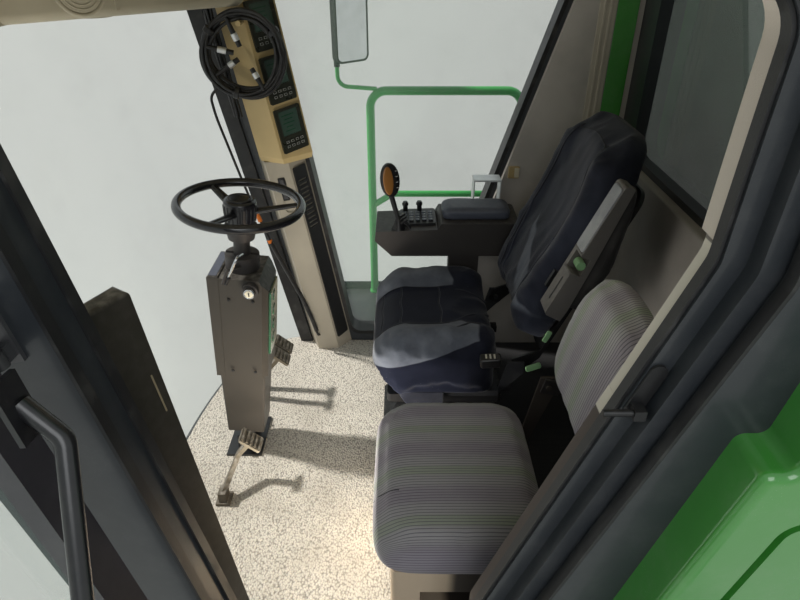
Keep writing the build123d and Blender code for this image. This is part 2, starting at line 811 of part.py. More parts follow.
with BuildPart() as column_gauges:
    shell_taper = math.atan2(8, column_top - column_step)
    gauge_plane = Plane(
        origin=column_plane(525, 0, shell_rear - 8 * (column_top - 525) / (column_top - column_step)).origin,
        x_dir=(-1, 0, 0),
        z_dir=(0, 1, -math.tan(lean_angle + shell_taper)),
    )
    with BuildSketch(gauge_plane.offset(seat_gap / 2)):
        RectangleRounded(106, 230, 8)
    extrude(amount=7)
    with BuildSketch(gauge_plane.offset(7)):
        with GridLocations(0, 52, 1, 4):
            Circle(19)
    extrude(amount=2)
finish(column_gauges, "column_gauges")

# Head: two collar halves round the tube, the tilt lever, a key switch and a neck
collar_height = 46
tube_radius = 24
hub_drop = 48

with BuildPart() as column_head:
    with BuildSketch(column_plane(column_top)):
        Circle(tube_radius)
    extrude(amount=wheel_height - column_top - hub_drop - seat_gap)
    with BuildSketch(column_plane(column_top + seat_gap)):
        Circle(50)
    extrude(amount=collar_height)
    fillet(column_head.edges().filter_by(GeomType.CIRCLE).group_by(Axis.Z)[-1], 4)
    with BuildSketch(column_plane(column_top + 20)):
        Rectangle(12, 130)
    extrude(amount=collar_height, mode=Mode.SUBTRACT)
    with BuildSketch(column_plane(column_top + 10)):
        Circle(tube_radius)
    extrude(amount=wheel_height - column_top - 65)
    with BuildSketch(column_plane(column_top + 96)):
        Circle(38)
    with BuildSketch(column_plane(wheel_height - 62)):
        Circle(46)
    loft()
    key_plane = Plane(
        origin=column_plane(column_top - 30, shell_half + 0.2, 40).origin, x_dir=(0, 1, 0), z_dir=(1, 0, 0)
    )
    with BuildSketch(key_plane):
        Circle(24)
    extrude(amount=14)
    with BuildSketch(key_plane.offset(14)):
        Circle(17)
    extrude(amount=8)
    with BuildLine() as lever_path:
        Polyline(
            column_plane(column_top + 26, 46, 6).origin,
            column_plane(column_top + 34, 92, -22).origin,
            column_plane(column_top - 4, 106, -34).origin,
        )
    with BuildSketch(lever_path.line ^ 0):
        Circle(4)
    sweep(transition=Transition.ROUND)
finish(column_head, "column_head")

# Steering wheel: rim, three spokes and a domed hub
hub_radius = 46

with BuildPart() as steering_wheel:
    with Locations(column_plane(wheel_height).location):
        Torus(wheel_radius, rim_radius)
    for angle in spoke_angles:
        turn = math.radians(angle)
        way = Vector(-math.sin(turn), math.cos(turn), 0)
        across = Vector(math.cos(turn), math.sin(turn), 0)
        hub_end = column_plane(wheel_height - 24, way.X * 20, way.Y * 20).origin
        rim_end = column_plane(wheel_height, way.X * wheel_radius, way.Y * wheel_radius).origin
        with BuildSketch(Plane(origin=hub_end, x_dir=across, z_dir=rim_end - hub_end)):
            Ellipse(17, 8)
        with BuildSketch(Plane(origin=rim_end, x_dir=across, z_dir=rim_end - hub_end)):
            Ellipse(11, 6)
        loft()
    with BuildSketch(column_plane(wheel_height - hub_drop)):
        Circle(hub_radius - 4)
    with BuildSketch(column_plane(wheel_height - 4)):
        Circle(hub_radius)
    loft()
    with BuildSketch(column_plane(wheel_height - 4)):
        Circle(hub_radius)
    extrude(amount=20)
    fillet(steering_wheel.edges().filter_by(GeomType.CIRCLE).sort_by(Axis.Z)[-1], 10)
finish(steering_wheel, "steering_wheel")

# Pedals: a pad with raised treads on an arm that rises from its floor bracket
pedal_table = [
    # pad centre x, y, height, foot x, foot y
    (-448, -440, 205, -438, -585),
    (-376, -440, 205, -386, -585),
    (20, -470, 165, 118, -556),
]
pad_size = (62, 78)
pad_depth = 9


def pedal(pad_x, pad_y, height, foot_x, foot_y):
    """One pedal, its pad leaning back at 50 degrees."""
    pad_plane = Plane(origin=(pad_x, pad_y, deck + height), x_dir=(-1, 0, 0), z_dir=(0, 0.643, 0.766))
    with BuildPart() as piece:
        with BuildSketch(pad_plane):
            RectangleRounded(*pad_size, 8)
        extrude(amount=-pad_depth)
        with BuildSketch(pad_plane):
            with GridLocations(0, 15, 1, 5):
                Rectangle(pad_size[0] - 12, 6)
        extrude(amount=3)
        with BuildLine() as arm:
            FilletPolyline(
                pad_plane.offset(-pad_depth + 2).origin,
                (pad_x, pad_y - 50, deck + height - 60),
                (foot_x, foot_y, deck + 34),
                radius=30,
            )
        with BuildSketch(arm.line ^ 0):
            Rectangle(14, 26)
        sweep(transition=Transition.RIGHT)
        with Locations((foot_x, foot_y, deck)):
            Box(52, 44, 10, align=up_from_here)
        with Locations((foot_x, foot_y, deck)):
            Box(40, 24, 46, align=up_from_here)
    return piece.part


with BuildPart() as pedals:
    for row in pedal_table:
        add(pedal(*row))
finish(pedals, "pedals")

# Operator's seat: a pedestal with bellows, slide rails, and a pan that carries everything above
pedestal_y = 140
pedestal_height = 300
bellows_count = 6
rail_spacing = 330
rail_size = (30, 24)
rail_reach = (-10, 350)
runner_reach = (15, 300)
pan_front = 15
pan_half = 232
pan_height = 345

with BuildPart() as seat_pedestal:
    with BuildSketch(Plane.XY.offset(deck)):
        with Locations((seat_x, pedestal_y)):
            RectangleRounded(400, 400, 20)
    extrude(amount=22)
    for turn in range(bellows_count):
        fold = (pedestal_height - 52) / bellows_count
        for half_fold, (low_size, high_size) in enumerate(((300, 346), (346, 300))):
            start = deck + 22 + fold * (turn + half_fold / 2)
            with BuildSketch(Plane.XY.offset(start)):
                with Locations((seat_x, pedestal_y)):
                    Rectangle(low_size, low_size)
            with BuildSketch(Plane.XY.offset(start + fold / 2)):
                with Locations((seat_x, pedestal_y)):
                    Rectangle(high_size, high_size)
            loft()
    with BuildSketch(Plane.XY.offset(deck + pedestal_height - 30)):
        with Locations((seat_x, pedestal_y)):
            RectangleRounded(390, 360, 12)
    extrude(amount=30)
    for side in (-1, 1):
        with Locations((seat_x + side * rail_spacing / 2, rail_reach[0], deck + pedestal_height)):
            Box(
                rail_size[0],
                rail_reach[1] - rail_reach[0],
                rail_size[1],
                align=(Align.CENTER, Align.MIN, Align.MIN),
            )
finish(seat_pedestal, "seat_pedestal")

pan_bottom = pedestal_height + rail_size[1] + slide_gap
side_plate_x = 219
arm_plate_x = 209
arm_thick = 8
carrier_reach = 320
recline_pin = 8

with BuildPart() as seat_pan:
    with Locations((seat_x, pan_front, deck + pan_bottom)):
        Box(
            2 * pan_half,
            300 - pan_front,
            pan_height - pan_bottom,
            align=(Align.CENTER, Align.MIN, Align.MIN),
        )
    for side in (-1, 1):
        for wall in (-1, 1):
            edge = rail_size[0] / 2 + 3 + 3.5
            runner_x = seat_x + side * rail_spacing / 2 + wall * edge
            with Locations((runner_x, runner_reach[0], deck + pan_bottom)):
                Box(
                    7,
                    runner_reach[1] - runner_reach[0],
                    rail_size[1] - 3,
                    align=(Align.CENTER, Align.MIN, Align.MAX),
                )
        with BuildSketch(Plane.YZ.offset(seat_x + side * side_plate_x)):
            with BuildLine():
                Polyline(
                    (250, deck + pan_bottom),
                    (300, deck + pan_bottom),
                    (recline_y + 26, deck + recline_height - 16),
                    (recline_y + 26, deck + recline_height + 26),
                    (recline_y - 22, deck + recline_height + 26),
                    (306, deck + pan_height + 30),
                    (300, deck + pan_height),
                    (250, deck + pan_height),
                    close=True,
                )
            make_face()
        extrude(amount=arm_thick / 2, both=True)
        with Locations(
            Location((seat_x + side * side_plate_x, recline_y, deck + recline_height), (0, -90 * side, 0))
        ):
            Cylinder(recline_pin, 26, align=up_from_here)
    with Locations((seat_x - pan_half, 230, deck + pan_bottom)):
        carrier_width = carrier_reach - pan_half
        Box(carrier_width, 130, pan_height - pan_bottom, align=(Align.MAX, Align.CENTER, Align.MIN))
finish(seat_pan, "seat_pan")

cushion_corner = 45
cushion_toe = (83, 85)

with BuildPart() as seat_cushion:
    with Locations((seat_x, seat_front, deck + pan_height)):
        Box(seat_width, seat_depth, cushion_thick, align=(Align.CENTER, Align.MIN, Align.MIN))
    toe_edge = seat_cushion.edges().group_by(Axis.Z)[0].sort_by(Axis.Y)[0]
    toe_face = seat_cushion.faces().sort_by(Axis.Z)[0]
    chamfer(toe_edge, cushion_toe[0], cushion_toe[1], reference=toe_face)
    fillet(seat_cushion.edges().filter_by(Axis.Z), cushion_corner)
    fillet(seat_cushion.faces().sort_by(Axis.Z)[-1].edges(), 36)
finish(seat_cushion, "seat_cushion")

# Skirt of the seat cover: it hangs along both sides, and its hem rises to clear the rails in front
skirt_front = seat_front + cushion_toe[0]
skirt_drop = 95
skirt_thick = 8
skirt_back = 135
hem_front = 14
hem_rise = 80


def skirt_face(inset):
    """Plan of the skirt, moved in from the cushion's edge and rounded at its two front corners."""
    with BuildSketch() as face:
        with Locations((seat_x, skirt_front + inset)):
            Rectangle(
                seat_width - 20 - 2 * inset,
                skirt_back - skirt_front,
                align=(Align.CENTER, Align.MIN),
            )
        fillet(face.vertices().group_by(Axis.Y)[0], cushion_corner - inset)
    return face.sketch


with BuildPart() as seat_skirt:
    with BuildSketch(Plane.XY.offset(deck + pan_height)):
        add(skirt_face(0))
        add(skirt_face(skirt_thick), mode=Mode.SUBTRACT)
    extrude(amount=-skirt_drop)
    with BuildSketch(Plane.YZ.offset(seat_x)):
        with BuildLine():
            Polyline(
                (skirt_front - 1, deck + pan_height - skirt_drop - 1),
                (skirt_front - 1, deck + pan_height - hem_front),
                (skirt_front + 10, deck + pan_height - hem_front),
                (skirt_front + 10 + hem_rise, deck + pan_height - skirt_drop - 1),
                close=True,
            )
        make_face()
    extrude(amount=seat_width, both=True, mode=Mode.SUBTRACT)
finish(seat_skirt, "seat_skirt")


def back_plane(hinge_x_at, hinge_y_at, height, tilt, x=0, up=0, out=0):
    """Plane of a backrest: x to the left, y up the back, z forwards out of it."""
    slope = math.radians(tilt)
    up_way = Vector(0, math.sin(slope), math.cos(slope))
    out_way = Vector(0, -math.cos(slope), math.sin(slope))
    origin = Vector(hinge_x_at, hinge_y_at, deck + height) + up_way * up + out_way * out + Vector(x, 0, 0)
    return Plane(origin=origin, x_dir=(1, 0, 0), z_dir=out_way)


def seat_back_at(x=0, up=0, out=0):
    """Plane on the operator's backrest."""
    return back_plane(seat_x, recline_y, recline_height, recline, x, up, out)


pad_bottom = 92
pad_top = 740
pad_front = 70
pad_rear = -40
shell_thick = 12

with BuildPart() as seat_back_pad:
    with BuildSketch(seat_back_at(out=pad_rear)):
        with BuildLine():
            Polyline(
                (-230, pad_bottom),
                (230, pad_bottom),
                (236, pad_bottom + 260),
                (205, pad_top),
                (-205, pad_top),
                (-236, pad_bottom + 260),
                close=True,
            )
        make_face()
        fillet(vertices().group_by(Axis.Y)[-1], 90)
    extrude(amount=pad_front - pad_rear)
    fillet(seat_back_pad.faces().sort_by(Axis.Y)[0].edges(), 32)
finish(seat_back_pad, "seat_back_pad")

arm_bracket_up = 330
arm_bracket_out = 60
armrest_inner = 58

with BuildPart() as seat_back_frame:
    with BuildSketch(seat_back_at(out=pad_rear - shell_thick)):
        with Locations((0, (pad_bottom + 600) / 2)):
            RectangleRounded(2 * arm_plate_x + arm_thick, 600 - pad_bottom + 30, 40)
    extrude(amount=shell_thick)
    for side in (-1, 1):
        with BuildSketch(Plane.YZ.offset(seat_x + side * arm_plate_x - arm_thick / 2)):
            corner = [(-52, 150), (-41, 150), (-41, 84), (20, 24), (20, -20), (-20, -22), (-52, 60)]
            add(
                polygon_face(
                    [
                        (
                            seat_back_at(up=up, out=out).origin.Y,
                            seat_back_at(up=up, out=out).origin.Z,
                        )
                        for out, up in corner
                    ]
                )
            )
        extrude(amount=arm_thick)
        with Locations(Location((seat_x + side * arm_plate_x, recline_y, deck + recline_height), (0, 90, 0))):
            Cylinder(recline_pin + pin_gap, 40, mode=Mode.SUBTRACT)
    with BuildSketch(seat_back_at(x=245, up=arm_bracket_up, out=pad_rear - shell_thick)):
        Rectangle(84, 50)
    extrude(amount=shell_thick)
    with BuildSketch(seat_back_at(x=262, up=arm_bracket_up, out=pad_rear)):
        Rectangle(12, 50)
    extrude(amount=arm_bracket_out - pad_rear + 24)
    with Locations(
        Location(seat_back_at(x=262, up=arm_bracket_up, out=arm_bracket_out).origin, (0, 90, 0))
    ):
        Cylinder(9, armrest_inner - seat_x - 262 + 44, align=up_from_here)
finish(seat_back_frame, "seat_back_frame")

# Left armrest, folded up beside the backrest: a moulded shell with a pocket, and the pad behind it
armrest_width = 62
armrest_low = 268
armrest_top = 640
armrest_face = 86
pocket_low = 398
pocket_high = 446
pocket_depth = 26
armrest_joint = [(36, 300), (44, 424), (62, armrest_top + 1)]

with BuildPart() as armrest_shell:
    arm_side = Plane(
        origin=seat_back_at(x=armrest_inner - seat_x).origin,
        x_dir=seat_back_at().z_dir,
        z_dir=(-1, 0, 0),
    )
    with BuildSketch(arm_side):
        with BuildLine():
            Polyline(
                (38, armrest_low - 4),
                *armrest_joint,
                (armrest_face, armrest_top),
                (armrest_face, armrest_low),
                close=True,
            )
        make_face()
        fillet(vertices().sort_by(Axis.X)[-2:], 9)
    extrude(amount=-armrest_width)
    with BuildSketch(arm_side):
        with Locations((arm_bracket_out, arm_bracket_up)):
            Circle(9 + pin_gap)
    extrude(amount=-48, mode=Mode.SUBTRACT)
    with BuildSketch(arm_side.offset(-armrest_width)):
        with Locations((armrest_face - pocket_depth / 2, (pocket_low + pocket_high) / 2)):
            Rectangle(pocket_depth + 2, pocket_high - pocket_low)
    extrude(amount=44, mode=Mode.SUBTRACT)
finish(armrest_shell, "armrest_shell")

with BuildPart() as armrest_pad:
    with BuildSketch(arm_side):
        with BuildLine():
            Polyline(
                *armrest_joint,
                (46, armrest_top + 3),
                (-4, 424),
                (-8, 318),
                (8, 300),
                close=True,
            )
        make_face()
    extrude(amount=-armrest_width)
finish(armrest_pad, "armrest_pad")

# Right console, carried by the seat pan: body, arm pad, key panel, lever and a sheet metal bracket
console_inner = -512
console_outer = -700
console_front = -90
console_back = 420
console_low = 545
console_top = 670
console_leg = (-560, -524, 175, 285)

with BuildPart() as console_body:
    with BuildSketch(Plane.YZ.offset(console_outer)):
        with BuildLine():
            Polyline(
                (console_front + 60, deck + console_low),
                (console_back, deck + console_low),
                (console_back, deck + console_top),
                (console_front + 235, deck + console_top),
                (console_front + 222, deck + console_top - 22),
                (console_front + 4, deck + console_top - 30),
                (console_front, deck + console_top - 66),
                close=True,
            )
        make_face()
        fillet(vertices().group_by(Axis.X)[0], 12)
        fillet(vertices().sort_by(Axis.X)[2], 90)
    extrude(amount=console_inner - console_outer)
    fillet(console_body.edges().filter_by(Axis.Z), 16)
    with Locations((console_leg[0], console_leg[2], deck + pan_height)):
        Box(
            console_leg[1] - console_leg[0],
            console_leg[3] - console_leg[2],
            console_low - pan_height,
            align=(Align.MIN, Align.MIN, Align.MIN),
        )
finish(console_body, "console_body")

with BuildPart() as console_pad:
    with Locations((console_inner - 28, console_front + 237, deck + console_top)):
        Box(128, 250, 46, align=(Align.MAX, Align.MIN, Align.MIN))
    fillet(console_pad.edges().filter_by(Axis.Z), 14)
    fillet(console_pad.faces().sort_by(Axis.Z)[-1].edges(), 12)
finish(console_pad, "console_pad")

key_slope = math.degrees(math.atan2(8, 218))
key_face = Plane(
    origin=((console_inner + console_outer) / 2 - 15, console_front + 155, deck + console_top - 24.2),
    x_dir=(1, 0, 0),
    z_dir=(0, -math.sin(math.radians(key_slope)), math.cos(math.radians(key_slope))),
)

with BuildPart() as console_keys:
    with BuildSketch(key_face):
        RectangleRounded(138, 128, 10)
    extrude(amount=9)
    with BuildSketch(key_face.offset(9)):
        with Locations((12, 0)):
            with GridLocations(22, 23, 4, 5):
                RectangleRounded(16, 15, 3)
    extrude(amount=5)
    with BuildSketch(key_face.offset(9)):
        with Locations((-54, -44), (-54, 8)):
            Circle(9)
    extrude(amount=22)
finish(console_keys, "console_keys")

# Multi-function lever: boot, leaning shaft, and a flat grip with a button face behind it
lever_x = -532
lever_y = -6

with BuildPart() as console_lever:
    boot_foot = (lever_x, lever_y, deck + console_top - 26.4)
    with BuildSketch(Plane(origin=boot_foot, x_dir=(1, 0, 0), z_dir=key_face.z_dir)):
        RectangleRounded(34, 46, 8)
    with BuildSketch(Plane.XY.offset(deck + console_top + 16)):
        with Locations((lever_x - 3, lever_y - 3)):
            Circle(10)
    loft()
    grip_foot = Plane(
        origin=(lever_x - 3, lever_y - 3, deck + console_top + 16), x_dir=(1, 0, 0), z_dir=(-0.2, -0.2, 1)
    )
    with BuildSketch(grip_foot):
        Circle(9)
    extrude(amount=80)
    grip_face = Plane(origin=grip_foot.offset(122).origin, x_dir=(1, 0, 0), z_dir=(0.1, 1, 0.2))
    with BuildSketch(grip_face):
        Ellipse(30, 56)
    extrude(amount=14, both=True)
    with BuildSketch(grip_face.offset(14)):
        with GridLocations(18, 19, 2, 4):
            Circle(6.5)
    extrude(amount=5)
finish(console_lever, "console_lever")

bracket_sheet = 4
bracket_size = 100

with BuildPart() as console_bracket:
    with BuildSketch(Plane.YZ.offset(-735)):
        with Locations((320, deck + console_top + bracket_size / 2)):
            Rectangle(bracket_size, bracket_size)
            Rectangle(bracket_size - 2 * bracket_sheet, bracket_size - 2 * bracket_sheet, mode=Mode.SUBTRACT)
    extrude(amount=65)
finish(console_bracket, "console_bracket")

# Instructor's seat: a base box with an open bin in its side, hinge brackets, cushion and folding back
base_left = 600
base_right = 165
base_front = -22
base_back = 330
base_top = guest_height - guest_thick
bracket_thick = 8

with BuildPart() as guest_base:
    with Locations((base_right, base_front, deck)):
        Box(base_left - base_right, base_back - base_front, base_top, align=corner_here)
    fillet(guest_base.edges().filter_by(Axis.Z), 18)
    with Locations((base_left, 45, deck + 60)):
        Box(260, 190, 200, align=(Align.MAX, Align.MIN, Align.MIN), mode=Mode.SUBTRACT)
    for x_at in (base_right - bracket_thick, base_left):
        with BuildSketch(Plane.YZ.offset(x_at)):
            add(
                polygon_face(
                    [
                        (262, deck + 190),
                        (base_back, deck + 190),
                        (guest_hinge_y + 26, deck + guest_hinge_height - 14),
                        (guest_hinge_y + 26, deck + guest_hinge_height + 22),
                        (guest_hinge_y - 20, deck + guest_hinge_height + 22),
                        (base_back + 14, deck + base_top + 16),
                        (base_back + 2, deck + base_top - 6),
                        (262, deck + base_top - 40),
                    ]
                )
            )
        extrude(amount=bracket_thick)
    for x_at, way in ((base_right - bracket_thick, 1), (base_left + bracket_thick, -1)):
        with Locations(Location((x_at, guest_hinge_y, deck + guest_hinge_height), (0, 90 * way, 0))):
            Cylinder(7, 26, align=up_from_here)
finish(guest_base, "guest_base")

with BuildPart() as guest_cushion:
    with Locations((guest_x, guest_front, deck + base_top)):
        Box(guest_width, guest_depth, guest_thick, align=(Align.CENTER, Align.MIN, Align.MIN))
    fillet(guest_cushion.edges().filter_by(Axis.Z), 65)
    fillet(guest_cushion.faces().sort_by(Axis.Z)[-1].edges(), 40)
finish(guest_cushion, "guest_cushion")


def guest_back_at(x=0, up=0, out=0):
    """Plane on the instructor's backrest."""
    middle = (base_left + base_right) / 2
    return back_plane(middle, guest_hinge_y, guest_hinge_height, guest_recline, x, up, out)


guest_pad_half = 190
guest_pad_low = 68
guest_pad_high = 402
guest_pad_front = 52
guest_pad_rear = -25

with BuildPart() as guest_back_pad:
    with BuildSketch(guest_back_at(out=guest_pad_rear)):
        with Locations((0, (guest_pad_low + guest_pad_high) / 2)):
            Rectangle(2 * guest_pad_half, guest_pad_high - guest_pad_low)
        fillet(vertices().group_by(Axis.Y)[-1], 135)
        fillet(vertices().group_by(Axis.Y)[0], 45)
    extrude(amount=guest_pad_front - guest_pad_rear)
    fillet(guest_back_pad.faces().sort_by(Axis.Y)[0].edges(), 30)
finish(guest_back_pad, "guest_back_pad")

with BuildPart() as guest_back_frame:
    with BuildSketch(guest_back_at(out=guest_pad_rear - 10)):
        with Locations((0, 205)):
            RectangleRounded(330, 270, 90)
        with Locations((0, 76)):
            Rectangle(base_left - base_right - 8, 44)
    extrude(amount=10)
    for side in (-1, 1):
        hinge_arm_x = side * ((base_left - base_right) / 2 - 8)
        with BuildSketch(guest_back_at(x=hinge_arm_x, out=guest_pad_rear - 10)):
            with Locations((0, 38)):
                Rectangle(8, 120)
        extrude(amount=10)
        with BuildSketch(guest_back_at(x=hinge_arm_x, out=guest_pad_rear)):
            with Locations((0, 0)):
                Rectangle(8, 44)
        extrude(amount=40)
    with Locations(Location((guest_x, guest_hinge_y, deck + guest_hinge_height), (0, 90, 0))):
        Cylinder(7 + pin_gap, 600, mode=Mode.SUBTRACT)
finish(guest_back_frame, "guest_back_frame")

# Outside on the right: a catwalk on two outriggers, and its guard rail with the mirror's arm
walk_inner = -862
walk_outer = -1300
walk_front = -350
walk_back = 700
walk_thick = 10
outrigger_ys = [-190, 520]
outrigger_width = 50

with BuildPart() as catwalk:
    with Locations((walk_outer, walk_front, rail_height)):
        Box(walk_inner - walk_outer, walk_back - walk_front, walk_thick, align=corner_here)
    with Locations((walk_outer, walk_front, rail_height + walk_thick)):
        Box(6, walk_back - walk_front, 40, align=corner_here)
    with Locations(*[(walk_outer + 10, y, rail_height) for y in outrigger_ys]):
        Box(-pad_inner - walk_outer - 10, outrigger_width, 70, align=(Align.MIN, Align.CENTER, Align.MAX))
finish(catwalk, "catwalk")

rail_tube = 19
rail_plane_x = -1268
rail_top = 960
rail_front_y = -130
rail_rear_y = 556
rail_rear_lean = 0.277
mid_rail = 490
walk_level = rail_height + walk_thick


def rail_rear_at(height):
    """The y of the leaning rear leg at a height above the deck."""
    return rail_rear_y - rail_rear_lean * (rail_top - height)


with BuildPart() as guard_rail:
    with BuildLine() as rail_path:
        FilletPolyline(
            (rail_plane_x, rail_front_y, walk_level + 6),
            (rail_plane_x, rail_front_y, deck + rail_top),
            (rail_plane_x, rail_rear_y, deck + rail_top),
            (rail_plane_x, rail_rear_at(walk_level + 6 - deck), walk_level + 6),
            radius=70,
        )
    with BuildSketch(rail_path.line ^ 0):
        Circle(rail_tube)
    sweep()
    with BuildLine() as mid_path:
        FilletPolyline(
            (rail_plane_x, rail_front_y, deck + mid_rail - 60),
            (rail_plane_x, rail_front_y + 95, deck + mid_rail),
            (rail_plane_x, rail_rear_at(mid_rail), deck + mid_rail),
            radius=60,
        )
    with BuildSketch(mid_path.line ^ 0):
        Circle(rail_tube - 4)
    sweep()
    with Locations(*[(rail_plane_x, y, walk_level) for y in (rail_front_y, rail_rear_at(walk_level - deck))]):
        Cylinder(24, 10, align=up_from_here)
    with BuildLine() as mirror_path:
        FilletPolyline(
            (rail_plane_x, rail_front_y + 30, deck + rail_top + 8),
            (rail_plane_x, rail_front_y - 137, deck + rail_top + 20),
            (rail_plane_x, rail_front_y - 137, deck + 1058),
            radius=45,
        )
    with BuildSketch(mirror_path.line ^ 0):
        Circle(9)
    sweep()
finish(guard_rail, "guard_rail")

# Mirror: a deep rounded shell turned towards the cab, clamped on the end of its arm
mirror_low = 1070
mirror_rise = 450
mirror_width = 170
mirror_depth = 42
mirror_arm_y = rail_front_y - 137
mirror_face = Plane(
    origin=(rail_plane_x - 0.66 * 72, mirror_arm_y + 0.75 * 72, deck + mirror_low + mirror_rise / 2),
    x_dir=(-0.66, 0.75, 0),
    z_dir=(0.75, 0.66, 0),
)

with BuildPart() as mirror:
    with BuildSketch(mirror_face):
        RectangleRounded(mirror_width, mirror_rise, 28)
    extrude(amount=mirror_depth / 2, both=True)
    fillet(mirror.faces().sort_by(Axis((0, 0, 0), (0.75, 0.66, 0)))[0].edges(), 14)
    with BuildSketch(mirror_face.offset(mirror_depth / 2)):
        RectangleRounded(mirror_width - 16, mirror_rise - 16, 22)
    extrude(amount=-4, mode=Mode.SUBTRACT)
    with Locations((rail_plane_x, mirror_arm_y, deck + mirror_low - 12 + seat_gap)):
        Cylinder(13, 30, align=up_from_here)
finish(mirror, "mirror")

# Cable: a coil hung on a peg of the display housing, and the lead that runs from it to the floor
coil_radius = 122
coil_thick = 18
coil_x = -628
coil_y = -500
coil_height = 1205

with BuildPart() as cable_coil:
    with Locations(Location((coil_x, coil_y, deck + coil_height), (0, 90, 0))):
        Torus(coil_radius, coil_thick)
finish(cable_coil, "cable_coil")

lead_radius = 4.5
lead_points = [
    (coil_x, coil_y - 99.4, deck + coil_height - 99.4),
    (-629, -628, deck + coil_height - 128),
    (-636, -622, deck + 1010),
    (-648, -598, deck + 900),
    (-658, -562, deck + 745),
    (-672, -512, deck + 560),
    (-680, -448, deck + 390),
    (-684, -384, deck + 230),
    (-682, -348, deck + 84),
    (-698.4, -344, deck + 74),
]


def turn_radius(before, at, after):
    """The largest arc for a corner: 0.45 of the shorter run over the tangent of half the turn."""
    run_in = Vector(*at) - Vector(*before)
    run_out = Vector(*after) - Vector(*at)
    half_turn = math.radians(run_in.get_angle(run_out) / 2)
    return 0.45 * min(run_in.length, run_out.length) / math.tan(half_turn)


lead_arcs = [turn_radius(*lead_points[i : i + 3]) for i in range(len(lead_points) - 2)]
print("radii of the lead's arcs", [round(arc) for arc in lead_arcs])

with BuildPart() as cable_lead:
    with BuildLine() as lead_path:
        FilletPolyline(*lead_points, radius=lead_arcs)
    with BuildSketch(lead_path.line ^ 0):
        Circle(lead_radius)
    sweep()
finish(cable_lead, "cable_lead")
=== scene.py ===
# %% [markdown]
# # The operator's cab of a combine harvester
# The cab stands on its own base frame with its door swung open, and we look in over the sill.
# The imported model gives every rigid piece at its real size. This script gives each piece its
# finish, and models what a solid can't show: upholstery, seams, keys, wires and small fasteners.

# %% Load the frame
import math

import bmesh
import bpy
from mathutils import Matrix, Vector, noise
from mathutils.bvhtree import BVHTree


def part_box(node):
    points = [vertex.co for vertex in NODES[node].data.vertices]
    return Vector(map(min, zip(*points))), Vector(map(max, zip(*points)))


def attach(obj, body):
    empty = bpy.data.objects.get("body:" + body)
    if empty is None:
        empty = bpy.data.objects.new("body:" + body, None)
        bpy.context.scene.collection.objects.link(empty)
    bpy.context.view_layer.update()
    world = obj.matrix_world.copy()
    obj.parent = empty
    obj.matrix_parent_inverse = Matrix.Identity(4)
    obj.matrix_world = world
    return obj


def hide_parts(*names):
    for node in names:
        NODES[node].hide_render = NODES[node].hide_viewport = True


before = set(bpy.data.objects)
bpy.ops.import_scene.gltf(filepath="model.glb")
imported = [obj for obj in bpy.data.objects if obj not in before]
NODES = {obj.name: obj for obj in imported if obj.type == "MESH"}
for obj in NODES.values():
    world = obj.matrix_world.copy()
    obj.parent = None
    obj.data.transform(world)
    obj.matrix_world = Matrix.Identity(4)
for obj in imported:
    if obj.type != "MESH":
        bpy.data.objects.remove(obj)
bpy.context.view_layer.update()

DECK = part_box("floor_mat")[1][2]
print("nodes", len(NODES), "deck at", round(DECK, 3))

# %% [markdown]
# ## Camera
# The photographer stood outside the open door, at about eye height, and looked down across the
# cab towards its far side. A 27 mm lens on a full-frame sensor gives the same wide view.

# %% Camera
EYE_OUT = 1.42
EYE_HEIGHT = 1.53
LOOK_DOWN = 31.2
LENS = 27

camera_data = bpy.data.cameras.new("cab_camera")
camera_data.lens = LENS
camera_data.sensor_width = 36
camera_data.clip_end = 100
camera = bpy.data.objects.new("cab_camera", camera_data)
camera.location = (EYE_OUT, 0, DECK + EYE_HEIGHT)
camera.rotation_euler = (math.radians(90 - LOOK_DOWN), 0, math.radians(90))
bpy.context.scene.collection.objects.link(camera)
bpy.context.scene.camera = camera

# %% [markdown]
# ## Light
# A cab is a box with a roof, so light has to come in through its panes and its door. One broad
# lamp as distant as the sky stands high in front, and a large soft one behind the camera fills the
# side that we see. The world fills the rest, and shows plain pale grey to the camera.

# %% Light and backdrop
scene = bpy.context.scene
scene.view_settings.view_transform = "Standard"
WORLD_LEVEL = 0.34
KEY_TRAVEL = (0.16, 0.64, -0.75)
KEY_LEVEL = 4.7
KEY_SPREAD = 4

key_data = bpy.data.lights.new("key_lamp", "SUN")
key_data.energy = KEY_LEVEL
key_data.angle = math.radians(KEY_SPREAD)
key_data.color = (1, 0.965, 0.91)
key_lamp = bpy.data.objects.new("key_lamp", key_data)
key_lamp.rotation_euler = Vector(KEY_TRAVEL).to_track_quat("-Z", "Y").to_euler()
scene.collection.objects.link(key_lamp)


def soft_lamp(name, place, target, size, watts, colour=(1, 1, 1)):
    """A square area lamp at a place, turned to a target."""
    data = bpy.data.lights.new(name, "AREA")
    data.shape = "SQUARE"
    data.size = size
    data.energy = watts
    data.color = colour
    lamp = bpy.data.objects.new(name, data)
    lamp.location = place
    lamp.rotation_euler = (Vector(target) - Vector(place)).to_track_quat("-Z", "Y").to_euler()
    scene.collection.objects.link(lamp)
    return lamp


soft_lamp("door_lamp", (4.4, 0.4, 3.6), (0.0, 0.2, 0.8), 2.6, 66, (0.96, 0.98, 1))

BOUNCE_PLACE = Vector((0.27, -0.30, DECK + 0.06))
bounce = soft_lamp("bounce_lamp", BOUNCE_PLACE, BOUNCE_PLACE + Vector((-0.2, 0.1, 1)), 0.38, 13, (1, 0.95, 0.87))
bounce.visible_camera = False
bounce.visible_glossy = False

